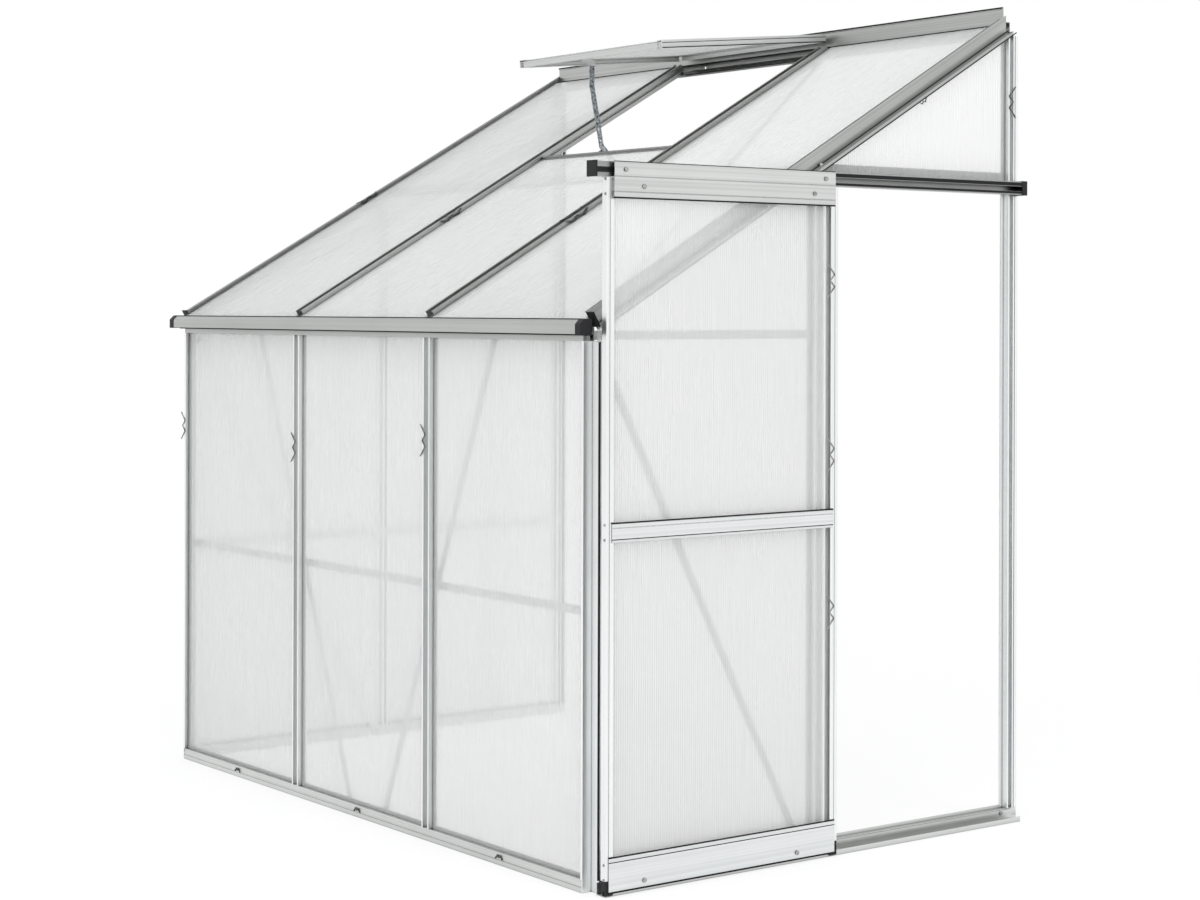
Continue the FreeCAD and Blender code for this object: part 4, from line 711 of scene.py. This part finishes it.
finishOf = {name: aluminium[key] for key, names in finishes.items() for name in names}
for name in ("gutter_caps", "track_stops", "door_guides", "door_wheel_front", "door_wheel_wall"):
    finishOf[name] = blackPlastic
for name in ("frame_bolts", "door_fasteners"):
    finishOf[name] = steel
for name in ("stay_bracket", "stay_arm"):
    finishOf[name] = staySteel
finishOf["frame_clips"] = clipSteel
for name, item in nodes.items():
    if name in finishOf:
        item.data.materials.clear()
        item.data.materials.append(finishOf[name])
    elif not item.hide_render:
        print("no finish for", name)
print("finishes given")


# Thin black beads that paint shade: dark lines laid in grooves, gaps and under lips where shade
# falls. Each line gives where the bead starts and ends, the way it faces, its width and how far it
# stands out, all in metres.
def lineAlongX(ends, y, z):
    return (ends[0], y, z), (ends[1], y, z)


def lineAlongY(ends, x, z):
    return (x, ends[0], z), (x, ends[1], z)


# Up a slope, places are given by how far up it they are and by their depth square to it.
def slopeLine(ends, x, depth, tilt):
    return tuple((x, reach * math.cos(tilt) - depth * math.sin(tilt),
                  reach * math.sin(tilt) + depth * math.cos(tilt)) for reach in ends)


doorBody = bodyOf["door_top_rail"]
ventBody = bodyOf["vent_side_bars"]
frontwards = (0, -1, 0)
beadPoints = 7                    # points round half an ellipse
# where the lines start and end
betweenStiles = (-0.0145, 0.6215)
bottomRail = (-0.0210, 0.6280)
upperTrack = (0.0050, 1.2590)
gutter = (-0.9675, 0.9675)
ridge = (-0.9405, 0.9405)
hinge = (-0.2850, 0.2850)
rafterWeb = (0.5950, 2.0600)
rafterSide = (0.6000, 2.0600)
ventSide = (0.8440, 1.4040)
# Each entry paints shade lines with black beads on one body.
beadValues = {
    "door_rail_shade_lines": (doorBody, [
        (*lineAlongY(betweenStiles, 1.0042, 0.7985), xAxis, 0.0036, 0.0012),
        (*lineAlongY(betweenStiles, 1.0030, 0.7630), xAxis, 0.0020, 0.0011),
        (*lineAlongY(bottomRail, 1.0030, 0.0730), xAxis, 0.0022, 0.0012),
        (*lineAlongY(bottomRail, 1.0030, 0.0835), xAxis, 0.0036, 0.0012),
        (*lineAlongY(bottomRail, 1.0030, 0.0095), xAxis, 0.0056, 0.0012),
        (*lineAlongY(betweenStiles, 1.0080, 1.5080), xAxis, 0.0018, 0.0010),
        (*lineAlongY(betweenStiles, 1.0080, 1.5410), xAxis, 0.0014, 0.0008),
        (*lineAlongY(betweenStiles, 1.0085, 1.4955), xAxis, 0.0040, 0.0012),
        (*lineAlongY(betweenStiles, 1.0084, 1.5718), zAxis, 0.0032, 0.0022),
    ]),
    "gutter_shade_lines": ("frame", [
        (*lineAlongX(gutter, -0.0615, 1.2335), zAxis, 0.0052, 0.0030),
        (*lineAlongX(gutter, -0.0440, 1.2015), frontwards, 0.0040, 0.0014),
    ]),
    "corner_post_shade_line": ("frame", [
        ((0.9675, -0.0225, 0.0300), (0.9675, -0.0225, 1.1860), xAxis, 0.0050, 0.0040),
    ]),
    "ridge_shade_lines": ("frame", [
        (*lineAlongX(ridge, 1.2407, 2.0060), frontwards, 0.0040, 0.0014),
        (*lineAlongX(ridge, 1.2402, 1.9632), frontwards, 0.0040, 0.0014),
        (*lineAlongX(hinge, 1.2420, 1.9466), frontwards, 0.0030, 0.0012),
        (*lineAlongX(hinge, 1.2196, 1.9337), frontwards, 0.0030, 0.0012),
    ]),
    "upper_track_shade_lines": ("frame", [
        (*lineAlongY(upperTrack, 0.9985, 1.5665), xAxis, 0.0085, 0.0008),
        (*lineAlongY(upperTrack, 0.9985, 1.5458), xAxis, 0.0055, 0.0008),
    ]),
    "rafter_shade_lines": ("frame", [
        bead for side in (1, -1) for bead in (
            (*slopeLine(rafterWeb, side * 0.9440, 1.0682, roofTilt), awayFromRoof, 0.0046, 0.0012),
            (*slopeLine(rafterSide, side * 0.9675, 1.0610, roofTilt), (side, 0, 0), 0.0030, 0.0010))
    ]),
    "vent_shade_lines": (ventBody, [
        bead for side in (1, -1) for bead in (
            (*slopeLine(ventSide, side * 0.3160, 1.8495, ventTilt), (side, 0, 0), 0.0028, 0.0009),
            (*slopeLine(ventSide, side * 0.3160, 1.8622, ventTilt), (side, 0, 0), 0.0018, 0.0008))
    ]),
}


# The side faces between neighbouring rings of a tube, and a cap at each end. Rings that run the
# other way round have their faces turned over.
def tubeFaces(rings, count, first=0, turned=False):
    index = first + np.arange(count)
    following = first + (np.arange(count) + 1) % count
    last = (rings - 1) * count
    order = (0, 3, 2, 1) if turned else (0, 1, 2, 3)
    faces = []
    for near in range(0, last, count):
        far = near + count
        corners = (index + near, index + far, following + far, following + near)
        faces += np.stack([corners[place] for place in order], -1).tolist()
    caps = (index[::-1], index + last) if turned else (index, (index + last)[::-1])
    return faces + [cap.tolist() for cap in caps]


# A bead is half an ellipse carried from start to end: across it goes the cosine of the angle times
# half the width, and out from the surface the sine of the angle times the height.
def makeBeads(name, body, lines):
    angles = np.linspace(0.0, np.pi, beadPoints)
    points, faces = [], []
    for start, end, facing, width, height in lines:
        start, end, facing = (np.array(item, float) for item in (start, end, facing))
        facing = facing / np.linalg.norm(facing)
        direction = (end - start) / np.linalg.norm(end - start)
        sideways = np.cross(direction, facing)
        ring = (np.cos(angles)[:, None] * sideways * width / 2
                + np.sin(angles)[:, None] * facing * height)
        faces += tubeFaces(2, beadPoints, sum(len(item) for item in points))
        points.append(np.concatenate([start + ring, end + ring]))
    piece = putMesh(name, np.concatenate(points), faces, [paintedShadeBlack])
    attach(piece, body)


for name, (body, lines) in beadValues.items():
    makeBeads(name, body, lines)
print("beads made")


# The head strip behind the pane over the doorway: a flat strip with rolled long edges.
headStripValues = {
    "ends": (0.6290, 1.2330),
    "level": (1.5760, 1.5960),
    "face": 0.9495,
    "thickness": 0.0016,
    "roll": 0.0016,               # how far the two long edges curl back
    "columns": 13,
}


# Height runs from edge to edge in even steps; the strip lies flat in the middle, and towards both
# edges it curls back by the fourth power of the distance from its middle line.
def makeHeadStrip(values):
    low, high = values["level"]
    share = np.linspace(-1.0, 1.0, values["columns"])
    heights = (low + high) / 2 + share * (high - low) / 2
    curl = values["roll"] * share ** 4
    outer = np.stack([values["face"] - curl, heights], -1)
    inner = np.stack([values["face"] - curl - values["thickness"], heights], -1)[::-1]
    ring = np.concatenate([outer, inner])
    sections = [np.stack([ring[:, 0], np.full(len(ring), place), ring[:, 1]], -1)
                for place in values["ends"]]
    piece = putMesh("doorway_head_strip", np.concatenate(sections), tubeFaces(2, len(ring)),
                    [aluminium["strip"]])
    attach(piece, "frame")


makeHeadStrip(headStripValues)
print("head strip made")


# Wire clips that press the roof panes down beside the bars. Each place gives the side face's x and
# the clip's middle up the slope.
roofClipValues = {
    "reach": 0.038,               # half the clip's length
    "radius": 0.0016,
    "out": 0.0042,                # how far the two peaks stand out from the bar's side
    "top": 1.1022,                # depths, measured square to the slope
    "bottom": 1.0942,
    "dip": 0.36,                  # how far the middle goes down, as a share
    "steps": 41,
    "sides": 8,
    "places": [(-0.9425, 1.2660), (-0.2960, 1.1134), (0.3260, 1.0743)],
}


# Along the clip runs p from -1 to 1. The wire goes down and out by the squared sine of pi p, plus
# the middle's dip times the sixth power of the cosine of half pi p, so that it draws a rounded W.
def makeRoofClips(values):
    steps, sides, radius = values["steps"], values["sides"], values["radius"]
    p = np.linspace(-1.0, 1.0, steps)
    share = np.sin(np.pi * p) ** 2 + values["dip"] * np.cos(np.pi * p / 2) ** 6
    uphill = np.array(upSlope)
    offRoof = np.array(awayFromRoof)
    drop = values["out"] * np.array(xAxis) - (values["top"] - values["bottom"]) * offRoof
    flat = np.cross(uphill, drop)
    flat = flat / np.linalg.norm(flat)
    angles = np.linspace(0.0, 2 * np.pi, sides, endpoint=False)[None, :, None]
    points, faces = [], []
    for faceX, middle in values["places"]:
        start = (faceX + radius) * np.array(xAxis) + values["top"] * offRoof
        path = start + (middle + values["reach"] * p)[:, None] * uphill + share[:, None] * drop
        heading = np.gradient(path, axis=0)
        heading = heading / np.linalg.norm(heading, axis=1)[:, None]
        sideways = np.cross(heading, flat)[:, None, :]
        rings = path[:, None, :] + radius * (np.cos(angles) * flat + np.sin(angles) * sideways)
        faces += tubeFaces(steps, sides, sum(len(item) for item in points), turned=True)
        points.append(rings.reshape(-1, 3))
    piece = putMesh("roof_bar_clips", np.concatenate(points), faces, [clipSteel], smooth=True)
    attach(piece, "frame")


makeRoofClips(roofClipValues)
print("roof clips made")


studioValues = {
    "worldLevel": 1.00,           # light that reaches dull surfaces from all round
    "worldColour": (0.98, 0.99, 1.0),
    "floorColour": (0.93, 0.93, 0.925),
    "floorFade": (1.8, 4.5),      # metres from the object where the floor turns to the background
    "floorShow": 0.70,            # share of the floor seen as bare white near the object
    "floorReach": 40.0,
    "floorHeight": -0.0005,
    "cards": [                    # corners and brightness
        ("roofCard", [(-14, 1, 5.5), (-1.5, 1, 5.5), (-1.5, 9, 5.5), (-14, 9, 5.5)], 0.30),
        ("frontCard", [(-9, -9, 0.0), (-1.5, -9, 0.0), (-1.5, -9, 5.0), (-9, -9, 5.0)], 0.92),
    ],
    "lamps": [                    # place, target, size and power
        ("softTop", (1.5, -2.0, 5.0), (0, 0.5, 0.8), (4.0, 3.0), 80),
        ("softSide", (5.0, 1.5, 3.0), (0.5, 0.6, 0.9), (3.0, 3.0), 45),
    ],
}


# One for what is seen straight, in a reflection or through a pane, and nought for all other rays.
def seenShare(tree):
    path = tree.add("ShaderNodeLightPath")
    seen = tree.math("MAXIMUM", path.outputs["Is Camera Ray"], path.outputs["Is Glossy Ray"])
    return tree.math("MAXIMUM", seen, path.outputs["Is Transmission Ray"])


# The background is white where it is seen, and lights the object by its own level.
def makeWorld(values):
    world = bpy.data.worlds.new("studioWorld")
    bpy.context.scene.world = world
    world.use_nodes = True
    world.node_tree.nodes.clear()
    tree = Tree(world.node_tree)
    blend = tree.add("ShaderNodeMixShader")
    tree.join(seenShare(tree), blend.inputs["Fac"])
    for place, colour, level in ((1, values["worldColour"], values["worldLevel"]),
                                 (2, (1, 1, 1), 1.0)):
        light = tree.add("ShaderNodeBackground")
        light.inputs["Strength"].default_value = level
        light.inputs["Color"].default_value = (*colour, 1)
        tree.join(light.outputs[0], blend.inputs[place])
    out = tree.add("ShaderNodeOutputWorld")
    tree.join(blend.outputs[0], out.inputs["Surface"])


def makeFloor(values):
    material, tree = emptyMaterial("paleFloor")
    away = tree.add("ShaderNodeVectorMath", operation="LENGTH")
    tree.join(tree.objectPlace(), away.inputs[0])
    fade = tree.remap(away.outputs["Value"], values["floorFade"], values["floorShow"], 1.0)
    dull = tree.add("ShaderNodeBsdfDiffuse")
    dull.inputs["Color"].default_value = (*values["floorColour"], 1)
    white = tree.add("ShaderNodeEmission")
    white.inputs["Strength"].default_value = 1.0
    blend = tree.add("ShaderNodeMixShader")
    tree.join(tree.math("MULTIPLY", fade, seenShare(tree)), blend.inputs["Fac"])
    tree.join(dull.outputs[0], blend.inputs[1])
    tree.join(white.outputs[0], blend.inputs[2])
    out = tree.add("ShaderNodeOutputMaterial")
    tree.join(blend.outputs[0], out.inputs["Surface"])
    reach, height = values["floorReach"], values["floorHeight"]
    points = np.array([(-reach, -reach, height), (reach, -reach, height), (reach, reach, height),
                       (-reach, reach, height)])
    floor = putMesh("studioFloor", points, [(0, 1, 2, 3)], [material])


# A reflection card lights nothing: it shows only in glossy metal, as the dim side of a studio does.
def makeCard(name, points, level):
    material, tree = emptyMaterial(name)
    glow = tree.add("ShaderNodeEmission")
    glow.inputs["Color"].default_value = (1.0, 1.0, 1.0, 1)
    glow.inputs["Strength"].default_value = level
    out = tree.add("ShaderNodeOutputMaterial")
    tree.join(glow.outputs[0], out.inputs["Surface"])
    card = putMesh(name, np.array(points, float), [(0, 1, 2, 3)], [material])
    card.visible_camera = False
    card.visible_diffuse = False
    card.visible_shadow = False
    card.visible_transmission = False


def addLamp(name, place, target, size, power):
    data = bpy.data.lights.new(name, "AREA")
    data.shape = "RECTANGLE"
    data.size, data.size_y = size
    data.energy = power
    lamp = bpy.data.objects.new(name, data)
    lamp.location = place
    aim = Vector(target) - Vector(place)
    lamp.rotation_euler = aim.to_track_quat("-Z", "Y").to_euler()
    lamp.visible_glossy = False
    lamp.visible_transmission = False
    bpy.context.scene.collection.objects.link(lamp)


makeWorld(studioValues)
makeFloor(studioValues)
for card in studioValues["cards"]:
    makeCard(*card)
for lamp in studioValues["lamps"]:
    addLamp(*lamp)
bpy.context.scene.view_settings.view_transform = "Standard"
print("studio made")

bpy.context.view_layer.update()
